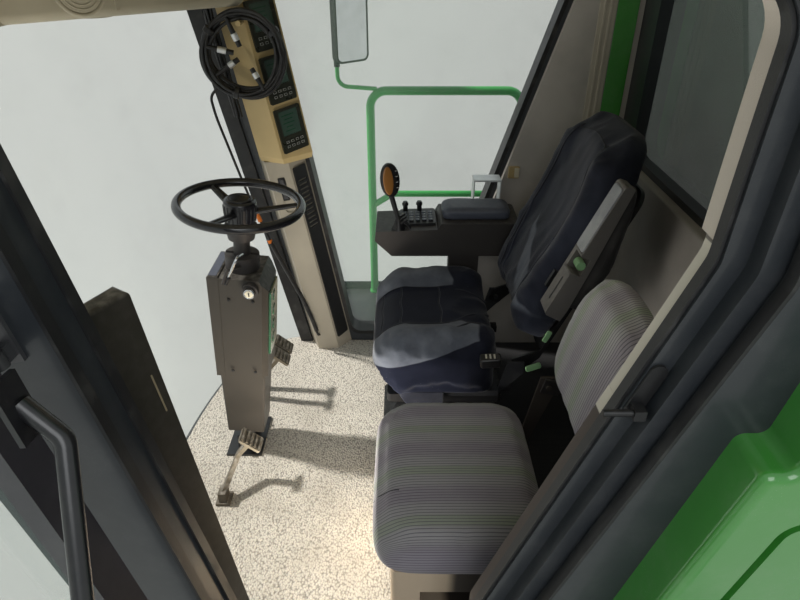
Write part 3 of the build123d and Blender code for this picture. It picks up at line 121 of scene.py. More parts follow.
world = bpy.data.worlds.new("pale_room")
scene.world = world
world.use_nodes = True
room_nodes = world.node_tree.nodes
room_links = world.node_tree.links
room_light = room_nodes["Background"]
room_light.inputs["Color"].default_value = (0.86, 0.92, 1, 1)
room_light.inputs["Strength"].default_value = WORLD_LEVEL
room_view = room_nodes.new("ShaderNodeBackground")
room_view.inputs["Color"].default_value = (0.62, 0.66, 0.66, 1)
room_path = room_nodes.new("ShaderNodeLightPath")
room_mix = room_nodes.new("ShaderNodeMixShader")
seen_share = room_path.outputs["Is Camera Ray"]
for kind in ("Is Glossy Ray", "Is Transmission Ray"):
    either = room_nodes.new("ShaderNodeMath")
    either.operation = "MAXIMUM"
    room_links.new(seen_share, either.inputs[0])
    room_links.new(room_path.outputs[kind], either.inputs[1])
    seen_share = either.outputs[0]
room_links.new(seen_share, room_mix.inputs[0])
room_links.new(room_light.outputs[0], room_mix.inputs[1])
room_links.new(room_view.outputs[0], room_mix.inputs[2])
room_links.new(room_mix.outputs[0], room_nodes["World Output"].inputs["Surface"])

# %% [markdown]
# ## How materials are written
# Every finish is a small sum: a base colour, mottled and worn by noise, and a bump for the grain.
# Sums read best as Python, so a socket is wrapped in a class whose +, - and * add the Math nodes.

# %% Sockets as Python values
class Value:
    """One output socket of a finish, which takes part in Python sums."""

    def __init__(self, finish, socket):
        self.finish = finish
        self.socket = socket

    def maths(self, operation, first, second=None, clamp=False):
        sockets = {0: first} if second is None else {0: first, 1: second}
        return self.finish.node("ShaderNodeMath", {"operation": operation, "use_clamp": clamp}, sockets)

    def __add__(self, other):
        return self.maths("ADD", self, other)

    def __radd__(self, other):
        return self.maths("ADD", other, self)

    def __sub__(self, other):
        return self.maths("SUBTRACT", self, other)

    def __rsub__(self, other):
        return self.maths("SUBTRACT", other, self)

    def __mul__(self, other):
        return self.maths("MULTIPLY", self, other)

    def __rmul__(self, other):
        return self.maths("MULTIPLY", other, self)

    def __truediv__(self, other):
        return self.maths("DIVIDE", self, other)

    def __pow__(self, other):
        return self.maths("POWER", self, other)

    def __lt__(self, other):
        return self.maths("LESS_THAN", self, other)

    def __gt__(self, other):
        return self.maths("GREATER_THAN", self, other)

    def __abs__(self):
        return self.maths("ABSOLUTE", self)

    def part(self):
        """What is left after the whole number."""
        return self.maths("FRACT", self)

    def held(self):
        """The value kept between 0 and 1."""
        return self.maths("ADD", self, 0, clamp=True)


# %% A finish: one material and its nodes
class Finish:
    """A material under construction."""

    def __init__(self, name, **sockets):
        self.material = bpy.data.materials.new(name)
        self.material.use_nodes = True
        self.nodes = self.material.node_tree.nodes
        self.links = self.material.node_tree.links
        self.shader = self.nodes["Principled BSDF"]
        self.set(sockets)

    def set(self, sockets):
        """Gives sockets of the shader their values, with _ for each space in a name."""
        for name, value in sockets.items():
            self.feed(self.shader.inputs[name.replace("_", " ")], value)

    def feed(self, socket, value):
        if isinstance(value, Value):
            self.links.new(value.socket, socket)
        elif isinstance(value, tuple) and len(value) == 3 and socket.type == "RGBA":
            socket.default_value = (*value, 1)
        else:
            socket.default_value = value

    def node(self, kind, settings, sockets, output=0):
        """Adds a node: its settings first, then what goes into its sockets."""
        node = self.nodes.new(kind)
        for name, value in settings.items():
            if name == "stops":
                ramp = node.color_ramp
                while len(ramp.elements) < len(value):
                    ramp.elements.new(0.5)
                for element, (place, colour) in zip(ramp.elements, value):
                    element.position = place
                    element.color = (*colour, 1)
            else:
                setattr(node, name, value)
        for name, value in sockets.items():
            self.feed(node.inputs[name], value)
        return Value(self, node.outputs[output])

    def place(self, stretch=(1, 1, 1), shift=(0, 0, 0), turn=(0, 0, 0)):
        """Object coordinates, turned, moved and scaled."""
        seen = self.node("ShaderNodeTexCoord", {}, {}, "Object")
        turns = tuple(math.radians(angle) for angle in turn)
        sockets = {"Vector": seen, "Location": shift, "Rotation": turns, "Scale": stretch}
        return self.node("ShaderNodeMapping", {}, sockets)

    def across(self, axis, where=None):
        """One coordinate of a place, x, y or z."""
        return self.node("ShaderNodeSeparateXYZ", {}, {0: where or self.place()}, axis)

    def cloud(self, scale, detail=3, where=None, rough=0.5):
        """Soft noise from 0 to 1."""
        sockets = {"Vector": where or self.place(), "Scale": scale, "Detail": detail, "Roughness": rough}
        return self.node("ShaderNodeTexNoise", {}, sockets)

    def cells(self, scale, where=None, feature="F1", randomness=1.0):
        """Distance inside random cells."""
        sockets = {"Vector": where or self.place(), "Scale": scale, "Randomness": randomness}
        return self.node("ShaderNodeTexVoronoi", {"feature": feature}, sockets)

    def ramp(self, value, *stops):
        """A colour for each value."""
        return self.node("ShaderNodeValToRGB", {"stops": stops}, {0: value})

    def step(self, value, low, high):
        """Rises smoothly from 0 at low to 1 at high."""
        sockets = {"Value": value, "From Min": low, "From Max": high}
        return self.node("ShaderNodeMapRange", {"interpolation_type": "SMOOTHSTEP"}, sockets)

    def mix(self, share, first, second, way="MIX"):
        """Two colours mixed by a share."""
        settings = {"data_type": "RGBA", "blend_type": way}
        return self.node("ShaderNodeMix", settings, {0: share, 6: first, 7: second}, 2)

    def bump(self, height, distance, strength=1.0, normal=None):
        """A normal that follows a height, in metres at height 1."""
        sockets = {"Height": height, "Distance": distance, "Strength": strength}
        if normal is not None:
            sockets["Normal"] = normal
        return self.node("ShaderNodeBump", {}, sockets)

    def upward(self):
        """How much a surface faces up, from 0 to 1."""
        normal = self.node("ShaderNodeNewGeometry", {}, {}, "Normal")
        return self.across("Z", normal).held()


def shade(colour, factor):
    """A colour made lighter or darker."""
    return tuple(min(1.0, part * factor) for part in colour)


# %% [markdown]
# ## Plastics and paints
# Moulded trim has a fine leathery grain, a slow mottling from sun and hands, and pale dust on
# whatever faces up. Paint is smoother, has a clear coat, and carries specks of field dust.

# %% Moulded plastic
GRAIN_SIZE = 0.0016


def moulded(name, colour, roughness=0.5, dust=0.25, grain=0.00012, mottle=0.18, coat=0.0):
    """Grained plastic with mottling, dust on top and rubbed patches."""
    finish = Finish(name, Coat_Weight=coat, Coat_Roughness=0.2, Specular_IOR_Level=0.45)
    slow = finish.cloud(7, 4)
    fine = finish.cloud(60, 3)
    base = finish.mix(slow, shade(colour, 1 - mottle), shade(colour, 1 + mottle))
    settled = finish.upward() * finish.step(fine, 0.35, 0.75) * dust
    dusty = shade((0.55, 0.52, 0.46), 1)
    rubbed = finish.step(finish.cloud(18, 5), 0.55, 0.8)
    finish.set(
        {
            "Base Color": finish.mix(settled, base, dusty),
            "Roughness": (roughness + settled * 0.3 - rubbed * 0.12).held(),
            "Normal": finish.bump(finish.cells(1 / GRAIN_SIZE), grain),
        }
    )
    return finish.material


# %% Painted metal
def painted(name, colour, roughness=0.35, coat=0.4, dust=0.3, orange_peel=0.00006):
    """Sprayed paint with a clear coat, dust specks and a slight orange peel."""
    finish = Finish(name, Coat_Weight=coat, Coat_Roughness=0.12)
    slow = finish.cloud(3, 5)
    specks = finish.step(finish.cells(240), 0.16, 0.05) * finish.step(finish.cloud(9, 3), 0.45, 0.7)
    film = finish.step(finish.cloud(14, 6, rough=0.7), 0.4, 0.85) * 0.5
    settled = ((specks + film) * dust).held()
    base = finish.mix(slow, shade(colour, 0.85), shade(colour, 1.12))
    finish.set(
        {
            "Base Color": finish.mix(settled * 0.6, base, (0.42, 0.41, 0.38)),
            "Roughness": (roughness + settled * 0.4).held(),
            "Normal": finish.bump(finish.cloud(420, 2), orange_peel),
        }
    )
    return finish.material


# %% Rubber, glass and metals
def rubbered(name, colour=(0.012, 0.012, 0.013), roughness=0.42):
    """Extruded rubber, dusty in places."""
    finish = Finish(name, Specular_IOR_Level=0.5)
    dusty = finish.step(finish.cloud(22, 5), 0.5, 0.8) * 0.25
    finish.set(
        {
            "Base Color": finish.mix(dusty, colour, (0.16, 0.155, 0.145)),
            "Roughness": dusty + roughness,
            "Normal": finish.bump(finish.cloud(300, 3), 0.00015),
        }
    )
    return finish.material


def glazed(name, tint, clearness):
    """Thin safety glass: mostly see-through, with a faint film of dust."""
    finish = Finish(name, Base_Color=tint, Roughness=0.03, Specular_IOR_Level=0.6)
    film = finish.step(finish.cloud(5, 6, rough=0.65), 0.4, 0.9)
    finish.set({"Alpha": film * 0.05 + (1 - clearness)})
    return finish.material


def metal(name, colour, roughness=0.3, brushed=(1, 1, 40)):
    """Bare or plated metal with fine brushing."""
    finish = Finish(name, Metallic=1.0)
    lines = finish.cloud(90, 3, finish.place(brushed))
    stain = finish.cloud(25, 4)
    finish.set(
        {
            "Base Color": finish.mix(stain, shade(colour, 0.75), colour),
            "Roughness": lines * 0.2 + roughness,
            "Normal": finish.bump(lines, 0.00005),
        }
    )
    return finish.material


# %% The cab's plain finishes
SLATE = painted("slate_shell_paint", (0.022, 0.026, 0.031), 0.42, 0.3, dust=0.18)
GREEN = painted("green_body_paint", (0.060, 0.310, 0.045), 0.22, 0.8)
RAIL_GREEN = painted("green_rail_paint", (0.03, 0.40, 0.07), 0.3, 0.6)
STEEL = painted("frame_black_paint", (0.020, 0.021, 0.024), 0.45, 0.2)
FITTING_BLACK = painted("black_fitting_paint", (0.010, 0.011, 0.012), 0.30, 0.3, dust=0.12)
DOOR_PAINT = painted("door_stile_paint", (0.026, 0.024, 0.031), 0.38, 0.35, dust=0.18)
RUBBER = rubbered("seal_rubber")
WINDSHIELD_GLASS = glazed("windshield_glass", (0.72, 0.82, 0.80), 0.93)
SIDE_GLASS = glazed("tinted_side_glass", (0.35, 0.50, 0.42), 0.86)
REAR_GLASS = glazed("tinted_rear_glass", (0.052, 0.110, 0.076), 0.24)
LINER = moulded("beige_ceiling_liner", (0.36, 0.33, 0.25), 0.75)
POST_BEIGE = moulded("beige_post_trim", (0.34, 0.31, 0.25), 0.5)
STRIP_BEIGE = moulded("beige_pillar_strip", (0.50, 0.46, 0.38), 0.55, 0.0)
HOUSING_TAN = moulded("tan_display_housing", (0.46, 0.35, 0.17), 0.45, dust=0.1)
TAUPE = moulded("taupe_column_plastic", (0.031, 0.027, 0.022), 0.46)
OLIVE = moulded("olive_post_cover", (0.036, 0.032, 0.024), 0.38)
BLACK = moulded("black_plastic", (0.010, 0.010, 0.011), 0.40, dust=0.05)
BAR_BLACK = moulded("satin_bar_black", (0.009, 0.009, 0.011), 0.30, 0.03, 0.00003, coat=0.3)
CHARCOAL = moulded("charcoal_console_plastic", (0.040, 0.036, 0.034), 0.5, dust=0.06)
ARM_SHELL = moulded("brown_grey_armrest_plastic", (0.120, 0.112, 0.104), 0.5)
GAUGE_GREEN = moulded("green_gauge_glass", (0.012, 0.060, 0.028), 0.12, 0.1, 0.00002, coat=1.0)
SCREEN = moulded("grey_green_screen", (0.040, 0.072, 0.058), 0.16, 0.1, 0.00002, coat=0.8)
BEZEL = moulded("olive_black_bezel", (0.022, 0.024, 0.018), 0.3, 0.1)
KEY_MARK = moulded("pale_key_mark", (0.42, 0.44, 0.42), 0.5, 0.0)
KNOB_GREEN = moulded("green_knob_plastic", (0.24, 0.44, 0.22), 0.35, 0.1)
TREAD_TAN = moulded("dusty_pedal_rubber", (0.092, 0.078, 0.056), 0.75, dust=0.4, mottle=0.3)
GOLD_BROWN = moulded("brown_grip_inlay", (0.235, 0.105, 0.028), 0.3, 0.0, 0.00005, mottle=0.4, coat=0.6)
ORANGE = moulded("orange_connector", (0.62, 0.16, 0.02), 0.4, 0.0)
CREAM = moulded("cream_key_plastic", (0.60, 0.55, 0.42), 0.4, 0.0)
SCREW = metal("zinc_screw", (0.72, 0.72, 0.70), 0.3)
WHEEL_BLACK = moulded("glossy_rim_plastic", (0.008, 0.008, 0.010), 0.26, 0.0, 0.00003, coat=0.4)
PAD_GREY = moulded("blue_grey_pad", (0.072, 0.082, 0.112), 0.45, 0.05, 0.00008, mottle=0.06)
MACHINE = painted("machine_grey_paint", (0.055, 0.055, 0.06), 0.45, 0.15)
BRIGHT = metal("bright_aluminium", (0.90, 0.91, 0.92), 0.42)
CHROME = metal("lever_chrome", (0.75, 0.76, 0.78), 0.08)
MIRROR_GLASS = metal("mirror_glass", (0.86, 0.88, 0.9), 0.02, (1, 1, 1))
print("plain finishes ready")

# %% [markdown]
# ## Lining of the rear pillars and the door's jamb
# The pillars are covered in a short felt, glued over the steel. On the jamb the felt ends at a seam,
# a smooth beige strip follows it down to the latch, and a brown one, scuffed by boots, ends it.

# %% Felt lining and the jamb's three stretches
FELT = (0.50, 0.475, 0.44)
JAMB_SEAM = DECK + 1.214
JAMB_LATCH = DECK + 0.940
BASE_FRONT = 0.10


def felted(name, colour):
    """Short grey-brown felt with a slow mottling."""
    finish = Finish(name, Roughness=0.95, Specular_IOR_Level=0.15, Sheen_Weight=0.15)
    fibres = finish.cloud(700, 3)
    slow = finish.step(finish.cloud(6, 4), 0.3, 0.75)
    base = finish.mix(slow, shade(colour, 0.86), shade(colour, 1.12))
    finish.set(
        {
            "Base Color": finish.mix(fibres * 0.35, base, shade(colour, 0.6)),
            "Normal": finish.bump(fibres, 0.0004, 0.7),
        }
    )
    return finish.material


def jamb_lining(name):
    """Felt above, beige plastic in the middle, scuffed brown plastic from the latch down."""
    finish = Finish(name, Specular_IOR_Level=0.3)
    height = finish.across("Z")
    felt = finish.step(height, JAMB_SEAM - 0.0015, JAMB_SEAM + 0.0015)
    beige = finish.step(height, JAMB_LATCH - 0.0015, JAMB_LATCH + 0.0015)
    seam = finish.step(abs(height - JAMB_SEAM), 0.0035, 0.0015)
    fibres = finish.cloud(700, 3)
    scuffs = finish.step(finish.cloud(30, 6, finish.place((1, 1, 0.25)), 0.7), 0.55, 0.8)
    brown = finish.mix(scuffs * 0.5, (0.068, 0.053, 0.046), (0.16, 0.135, 0.115))
    cream = finish.mix(finish.cloud(9, 4), (0.52, 0.49, 0.42), (0.66, 0.63, 0.54))
    soft = finish.mix(fibres * 0.35, (0.56, 0.515, 0.455), (0.38, 0.345, 0.30))
    lining = finish.mix(felt, finish.mix(beige, brown, cream), soft)
    finish.set(
        {
            "Base Color": finish.mix(seam * 0.8, lining, (0.05, 0.045, 0.04)),
            "Roughness": felt * 0.4 + 0.5,
            "Normal": finish.bump(fibres * felt - seam, 0.0006, 0.8),
        }
    )
    return finish.material


def seat_base_plastic(name):
    """Tan plastic with painted sunlight on its front, and dark brown painted shade behind."""
    finish = Finish(name, Roughness=0.6, Specular_IOR_Level=0.35)
    # Painted light: the tan front paints the sunlight on it, and the dark brown behind paints the shade.
    pale_band_and_painted_sunlight = finish.step(finish.across("Y") + (finish.cloud(5, 3) - 0.5) * 0.03, BASE_FRONT + 0.03, BASE_FRONT)
    streaks = finish.cloud(9, 5, finish.place((1, 1, 0.2)))
    tan = finish.mix(streaks, (0.50, 0.38, 0.26), (0.68, 0.56, 0.42))
    brown = finish.mix(streaks, (0.040, 0.033, 0.028), (0.075, 0.062, 0.052))
    grain = finish.cells(1 / GRAIN_SIZE)
    finish.set({"Base Color": finish.mix(pale_band_and_painted_sunlight, brown, tan), "Normal": finish.bump(grain, 0.00012)})
    return finish.material


SEAT_BASE = seat_base_plastic("instructor_base_plastic")
REAR_FELT = felted("rear_felt_lining", FELT)
JAMB_LINING = jamb_lining("jamb_lining")
print("linings ready")

# %% [markdown]
# ## Carpet
# The mat is a pale looped carpet. Each loop is a small lump, so a cell pattern about 6 mm across
# gives the bump, its dark gaps paint the shade between the loops, and slow noise gives the trodden
# and soiled areas.

# %% Looped carpet
LOOP_SIZE = 0.0072


SHADE_MATTING_FROM = 0.115


def looped(name):
    """Pale looped pile with painted shade in its gaps, soiled in patches; behind, a black ribbed mat, partly
    painted shade.
    """
    finish = Finish(name, Roughness=0.95, Specular_IOR_Level=0.1, Sheen_Weight=0.3)
    stirred = finish.place((1, 1.35, 1))
    loops = finish.cells(1 / LOOP_SIZE, stirred)
    tufts = finish.cloud(70, 4)
    soiled = finish.step(finish.cloud(5, 5, rough=0.6), 0.42, 0.72)
    # Dark cell edges paint the shade in the gaps between the loops.
    pile = finish.ramp(loops, (0.0, (0.80, 0.76, 0.67)), (0.45, (0.62, 0.58, 0.50)), (0.85, (0.17, 0.155, 0.13)))
    mottled = finish.mix(tufts, shade((0.62, 0.58, 0.5), 0.75), (0.78, 0.75, 0.68))
    cloth = finish.mix(0.25, pile, mottled)
    carpet = finish.mix(soiled * 0.35, cloth, (0.30, 0.27, 0.22))
    # From here back the floor turns to a black ribbed mat: partly a rubber mat, partly painted shade under and
    # between the seats.
    matting_and_painted_shade = finish.step(finish.across("Y"), SHADE_MATTING_FROM, SHADE_MATTING_FROM + 0.004)
    ribs = abs((finish.across("X") / 0.006).part() - 0.5)
    relief = (tufts * 0.6 + (1 - loops)) * (1 - matting_and_painted_shade) + ribs * matting_and_painted_shade * 0.3
    finish.set(
        {
            "Base Color": finish.mix(matting_and_painted_shade, carpet, (0.013, 0.013, 0.014)),
            "Normal": finish.bump(relief, 0.004, 0.9),
        }
    )
    return finish.material


CARPET = looped("looped_carpet")

# %% [markdown]
# ## Upholstery cloth
# The operator's seat wears a dark cover with lighter, worn bands down both sides. The instructor's
# seat is a striped cloth: thin dark lines about 8 mm apart, with wider greenish and plum bands.

# %% Seat cover cloth
SEAT_X = -0.235
BAND_INNER = 0.112
BAND_END = 0.200
BAND_END_SKEW = 0.14
HEM_HEIGHT = 0.457
HEM_RISE = 0.30
WEAVE = 0.0022


def weave(finish, size=WEAVE, axis=("X", "Y")):
    """Crossed threads, as a height from 0 to 1."""
    threads = [finish.across(name) for name in axis]
    heights = [abs((thread / size).part() - 0.5) * 2 for thread in threads]
    return heights[0] * heights[1]


def cover_cloth(name):
    """Dark woven cover: navy middle, worn grey-blue side bands, charcoal edges."""
    finish = Finish(name, Roughness=0.85, Specular_IOR_Level=0.25, Sheen_Weight=0.12, Sheen_Roughness=0.4)
    aside = finish.across("X") - SEAT_X
    off_centre = abs(aside) + (finish.cloud(4, 2) - 0.5) * 0.03
    inner = finish.step(off_centre, BAND_INNER - 0.003, BAND_INNER + 0.003)
    ahead = finish.across("Y")
    end = aside * BAND_END_SKEW + BAND_END + (finish.cloud(9, 2) - 0.5) * 0.05
    hem = ahead * HEM_RISE + (DECK + HEM_HEIGHT) + (finish.cloud(7, 2) - 0.5) * 0.012
    above_hem = finish.step(finish.across("Z") - hem, -0.0015, 0.0015)
    band = inner * above_hem * finish.step(ahead - end, 0.004, -0.004)
    worn = finish.step(finish.cloud(9, 5, rough=0.6), 0.3, 0.75)
    navy = finish.mix(worn, (0.0060, 0.0075, 0.016), (0.011, 0.013, 0.025))
    pale_band_and_painted_sunlight = finish.mix(worn, (0.080, 0.089, 0.112), (0.165, 0.178, 0.208))
    dusty = finish.step(finish.cells(55), 0.10, 0.03) * finish.step(finish.cloud(6, 3), 0.5, 0.72)
    cloth = finish.mix(band.held(), navy, pale_band_and_painted_sunlight)
    finish.set(
        {
            "Base Color": finish.mix(dusty * 0.3, cloth, (0.35, 0.36, 0.38)),
            "Normal": finish.bump(weave(finish), 0.0005, 0.6),
        }
    )
    return finish.material


COVER_CLOTH = cover_cloth("dark_seat_cover")

# %% Cover cloth for the skirt and the backrest, which have no light bands
def plain_cloth(name, dark, light, sheen=0.15):
    """Woven cloth in one worn colour."""
    finish = Finish(name, Roughness=0.85, Specular_IOR_Level=0.25, Sheen_Weight=sheen)
    worn = finish.step(finish.cloud(8, 5, rough=0.6), 0.35, 0.7)
    finish.set(
        {
            "Base Color": finish.mix(worn, dark, light),
            "Normal": finish.bump(weave(finish, axis=("X", "Z")), 0.0005, 0.6),
        }
    )
    return finish.material


GATHER_HEIGHT = DECK + 0.63


def gathered_cloth(name):
    """Navy cloth of the backrest; at its foot, lighter blue-grey streaks along the gathered folds paint their
    highlights.
    """
    finish = Finish(name, Roughness=0.85, Specular_IOR_Level=0.25, Sheen_Weight=0.15)
    worn = finish.step(finish.cloud(8, 5, rough=0.6), 0.35, 0.7)
    rise = finish.across("Z") - GATHER_HEIGHT
    wander = (finish.cloud(14, 3) - 0.5) * 0.05
    beside = abs(finish.across("X") - SEAT_X - 0.095 + rise + wander) - 0.075 + rise * 0.45
    folds = finish.cloud(16, 3, finish.place((4, 1, 1), turn=(0, 40, 0)))
    # The lighter streaks along the folds are painted highlights.
    pale = finish.mix(folds, (0.055, 0.062, 0.085), (0.170, 0.185, 0.220))
    painted_highlight_share = finish.step(beside, 0.010, -0.010) * finish.step(rise, -0.035, -0.005)
    navy = finish.mix(worn, (0.009, 0.011, 0.021), (0.019, 0.023, 0.038))
    finish.set(
        {
            "Base Color": finish.mix(painted_highlight_share, navy, pale),
            "Normal": finish.bump(weave(finish, axis=("X", "Z")), 0.0005, 0.6),
        }
    )
    return finish.material


BACK_CLOTH = gathered_cloth("backrest_cloth")
SKIRT_CLOTH = plain_cloth("skirt_cloth", (0.008, 0.009, 0.016), (0.016, 0.018, 0.028))
# Lighter than the backrest's navy, to paint the highlight along the bolster folds.
BOLSTER_FOLD_HIGHLIGHT_CLOTH = plain_cloth("bolster_fold_painted_highlight", (0.014, 0.017, 0.030), (0.035, 0.040, 0.058))

# %% Striped cloth
LINE_PITCH = 0.0078
BAND_PITCH = 0.140
GUEST_X = 0.375


def striped_cloth(name, edge_from, edge_to, plain_side, light=1.0):
    """Grey cloth with thin dark lines and wide bands, all along the seat.

    Past edge_from, away from the middle, the cloth turns down over the side, so height counts too.
    """
    finish = Finish(name, Roughness=0.9, Specular_IOR_Level=0.2, Sheen_Weight=0.15)
    x = finish.across("X")
    height = finish.across("Z")
    off_centre = abs(x - GUEST_X)
    turned = finish.step(off_centre, edge_from, edge_to) if edge_to else 0
    wander = (finish.cloud(12, 2) - 0.5) * 0.0010
    along = x + wander + (GUEST_TOP - height) * turned if edge_to else x + wander
    line = abs((along / LINE_PITCH).part() - 0.5)
    dark_line = finish.step(line, 0.30, 0.46)
    band = abs(((x - GUEST_X) / BAND_PITCH + 0.25).part() - 0.5)
    greenish = finish.step(band, 0.13, 0.06)
    plum = finish.step(band, 0.26, 0.42)
    plain = finish.step(x, plain_side + 0.012, plain_side - 0.012)
    # light scales every colour of the cloth; above 1 it paints sunlight onto it.
    grey = shade((0.330, 0.320, 0.325), light)
    ground = finish.mix(greenish * 0.55, grey, shade((0.255, 0.315, 0.200), light))
    ground = finish.mix(plum * 0.50, ground, shade((0.225, 0.185, 0.240), light))
    ground = finish.mix(plain * 0.6, ground, shade((0.33, 0.34, 0.345), light))
    worn = finish.step(finish.cloud(10, 4), 0.35, 0.7)
    thread = finish.mix(dark_line * (1 - plain * 0.8) * 0.8, ground, (0.085, 0.078, 0.105))
    finish.set(
        {
            "Base Color": finish.mix(worn * 0.15, thread, (0.38, 0.37, 0.36)),
            "Normal": finish.bump(dark_line * -1 + weave(finish, 0.0026), 0.0006, 0.7),
        }
    )
    return finish.material


GUEST_TOP = DECK + 0.435
STRIPED = striped_cloth("striped_cushion_cloth", 0.195, 0.235, 0.175)
# The backrest's cloth is made brighter by half again: painted sunlight.
STRIPED_BACK_PAINTED_SUNLIGHT = striped_cloth("striped_backrest_cloth_painted_sunlight", 0.0, None, 0.245, light=1.55)

# %% [markdown]
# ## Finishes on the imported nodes
# Most rigid pieces already have their real shape, so they only need their material.

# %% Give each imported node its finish
NODE_FINISHES = {
    STEEL: ["base_frame", "catwalk", "seat_pan"],
    SLATE: ["floor_pan", "side_frame_left", "side_frame_right", "rear_wall"],
    FITTING_BLACK: ["door_latch", "column_foot"],
    TREAD_TAN: ["pedals"],
    GREEN: ["roof_shell", "side_cover_left"],
    RAIL_GREEN: ["guard_rail"],
    CARPET: ["floor_mat"],
    RUBBER: ["rubber_seals"],
    WINDSHIELD_GLASS: ["windshield"],
    SIDE_GLASS: ["right_window", "door_glass"],
    REAR_GLASS: ["rear_window"],
    LINER: ["headliner", "overhead_console"],
    JAMB_LINING: ["jamb_trims"],
    REAR_FELT: ["rear_trims"],
    POST_BEIGE: ["post_cover_right"],
    HOUSING_TAN: ["display_housing"],
    BEZEL: ["display_units"],
    BLACK: ["post_switch_strip", "mirror", "seat_pedestal", "seat_back_frame",
            "console_keys", "door_striker"],
    SCREEN: ["display_screens"],
    OLIVE: ["post_cover_left"],
    DOOR_PAINT: ["door_frame"],
    MACHINE: ["door_hinges"],
    WHEEL_BLACK: ["steering_wheel"],
    BAR_BLACK: ["door_grab_bar"],
    GAUGE_GREEN: ["column_gauges"],
    TAUPE: ["column_housing", "column_front_cover"],
    CHARCOAL: ["column_head", "console_body", "console_lever", "guest_back_frame"],
    ARM_SHELL: ["armrest_shell"],
    SEAT_BASE: ["guest_base"],
    PAD_GREY: ["console_pad", "armrest_pad"],
    BRIGHT: ["console_bracket", "work_lamps"],
    COVER_CLOTH: ["seat_cushion"],
    SKIRT_CLOTH: ["seat_skirt"],
    BACK_CLOTH: ["seat_back_pad"],
    STRIPED: ["guest_cushion"],
    STRIPED_BACK_PAINTED_SUNLIGHT: ["guest_back_pad"],
}
for finish, names in NODE_FINISHES.items():
    for name in names:
        slots = NODES[name].data.materials
        slots.clear()
        slots.append(finish)
finished = {name for names in NODE_FINISHES.values() for name in names}
for name in ("cable_coil", "cable_lead"):
    NODES[name].data.materials.clear()
    NODES[name].data.materials.append(RUBBER)
print("left without a finish:", sorted(set(NODES) - finished - {"cable_coil", "cable_lead"}))

# %% [markdown]
# ## Floor
# A plain pale ground, the size of a yard, stands in for what the cab is set down on.

# %% Pale ground
FLOOR_HALF = 30.0

ground_finish = Finish("pale_ground", Base_Color=(0.41, 0.43, 0.42), Roughness=0.95)
ground_form = bmesh.new()
bmesh.ops.create_grid(ground_form, x_segments=1, y_segments=1, size=FLOOR_HALF)
ground_mesh = bpy.data.meshes.new("pale_ground")
ground_form.to_mesh(ground_mesh)
ground_form.free()
ground_mesh.materials.append(ground_finish.material)
ground = bpy.data.objects.new("pale_ground", ground_mesh)
scene.collection.objects.link(ground)

# %% [markdown]
# ## How pieces are modelled
# The small pieces start as a cube, a cone or a grid from bmesh, and are bevelled, bent or divided
# from there. A local frame puts each one on what carries it, so its object stays at the origin.

# %% Shape tools
def placed(origin, x_axis=(1, 0, 0), z_axis=(0, 0, 1)):
    """A local frame: its origin, its z axis, and the nearest x axis to the one given."""
    up = Vector(z_axis).normalized()
    side = Vector(x_axis)
    side = (side - up * side.dot(up)).normalized()
    turn = Matrix((side, up.cross(side), up)).transposed().to_4x4()
    return Matrix.Translation(Vector(origin)) @ turn


def shift(x=0.0, y=0.0, z=0.0):
    return Matrix.Translation((x, y, z))


def shown(mesh, name, finish, body, smooth=40):
    """Shows a mesh as a piece that rides on a body."""
    mesh.materials.append(finish)
    mesh.shade_smooth()
    mesh.set_sharp_from_angle(angle=math.radians(smooth))
    piece = bpy.data.objects.new(name, mesh)
    scene.collection.objects.link(piece)
    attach(piece, body)
    return piece


def keep(form, name, finish, body, smooth=40, bevel=0.0):
    """Turns a bmesh into a piece, with softened edges if asked."""
    bmesh.ops.recalc_face_normals(form, faces=form.faces)
    mesh = bpy.data.meshes.new(name)
    form.to_mesh(mesh)
    form.free()
    piece = shown(mesh, name, finish, body, smooth)
    if bevel:
        soften = piece.modifiers.new("soft_edges", "BEVEL")
        soften.width = bevel
        soften.segments = 2
        soften.limit_method = "ANGLE"
        soften.angle_limit = math.radians(40)
    return piece


def add_slab(form, place, width, height, thick, corner=0.0, segments=4):
    """A slab that rises by thick from the x-y plane of place, with rounded corners."""
    grown = place @ shift(z=thick / 2) @ Matrix.Diagonal((width, height, thick, 1))
    made = bmesh.ops.create_cube(form, size=1, matrix=grown)
    if corner:
        up = (place.to_3x3() @ Vector((0, 0, 1))).normalized()
        edges = {edge for vert in made["verts"] for edge in vert.link_edges}
        upright = [e for e in edges if abs((e.verts[1].co - e.verts[0].co).normalized().dot(up)) > 0.99]
        bmesh.ops.bevel(form, geom=upright, offset=corner, offset_type="OFFSET", segments=segments,
                        profile=0.5, affect="EDGES", material=-1)


def add_rod(form, start, end, radius, end_radius=None, segments=20):
    """A round bar or cone from one point to another."""
    start = Vector(start)
    way = Vector(end) - start
    place = Matrix.Translation(start + way / 2) @ way.to_track_quat("Z", "Y").to_matrix().to_4x4()
    far = radius if end_radius is None else end_radius
    bmesh.ops.create_cone(form, cap_ends=True, segments=segments, radius1=radius, radius2=far,
                          depth=way.length, matrix=place)


def add_ring(form, place, ring_radius, wire_radius, sides=12, steps=40):
    """A torus round the z axis of place, spun from a small circle."""
    start = place @ shift(x=ring_radius) @ Matrix.Rotation(math.radians(90), 4, "X")
    made = bmesh.ops.create_circle(form, segments=sides, radius=wire_radius, matrix=start)
    edges = list({edge for vert in made["verts"] for edge in vert.link_edges})
    axis = (place.to_3x3() @ Vector((0, 0, 1))).normalized()
    bmesh.ops.spin(form, geom=made["verts"] + edges, cent=place.translation, axis=axis,
                   angle=math.tau, steps=steps, use_merge=True)


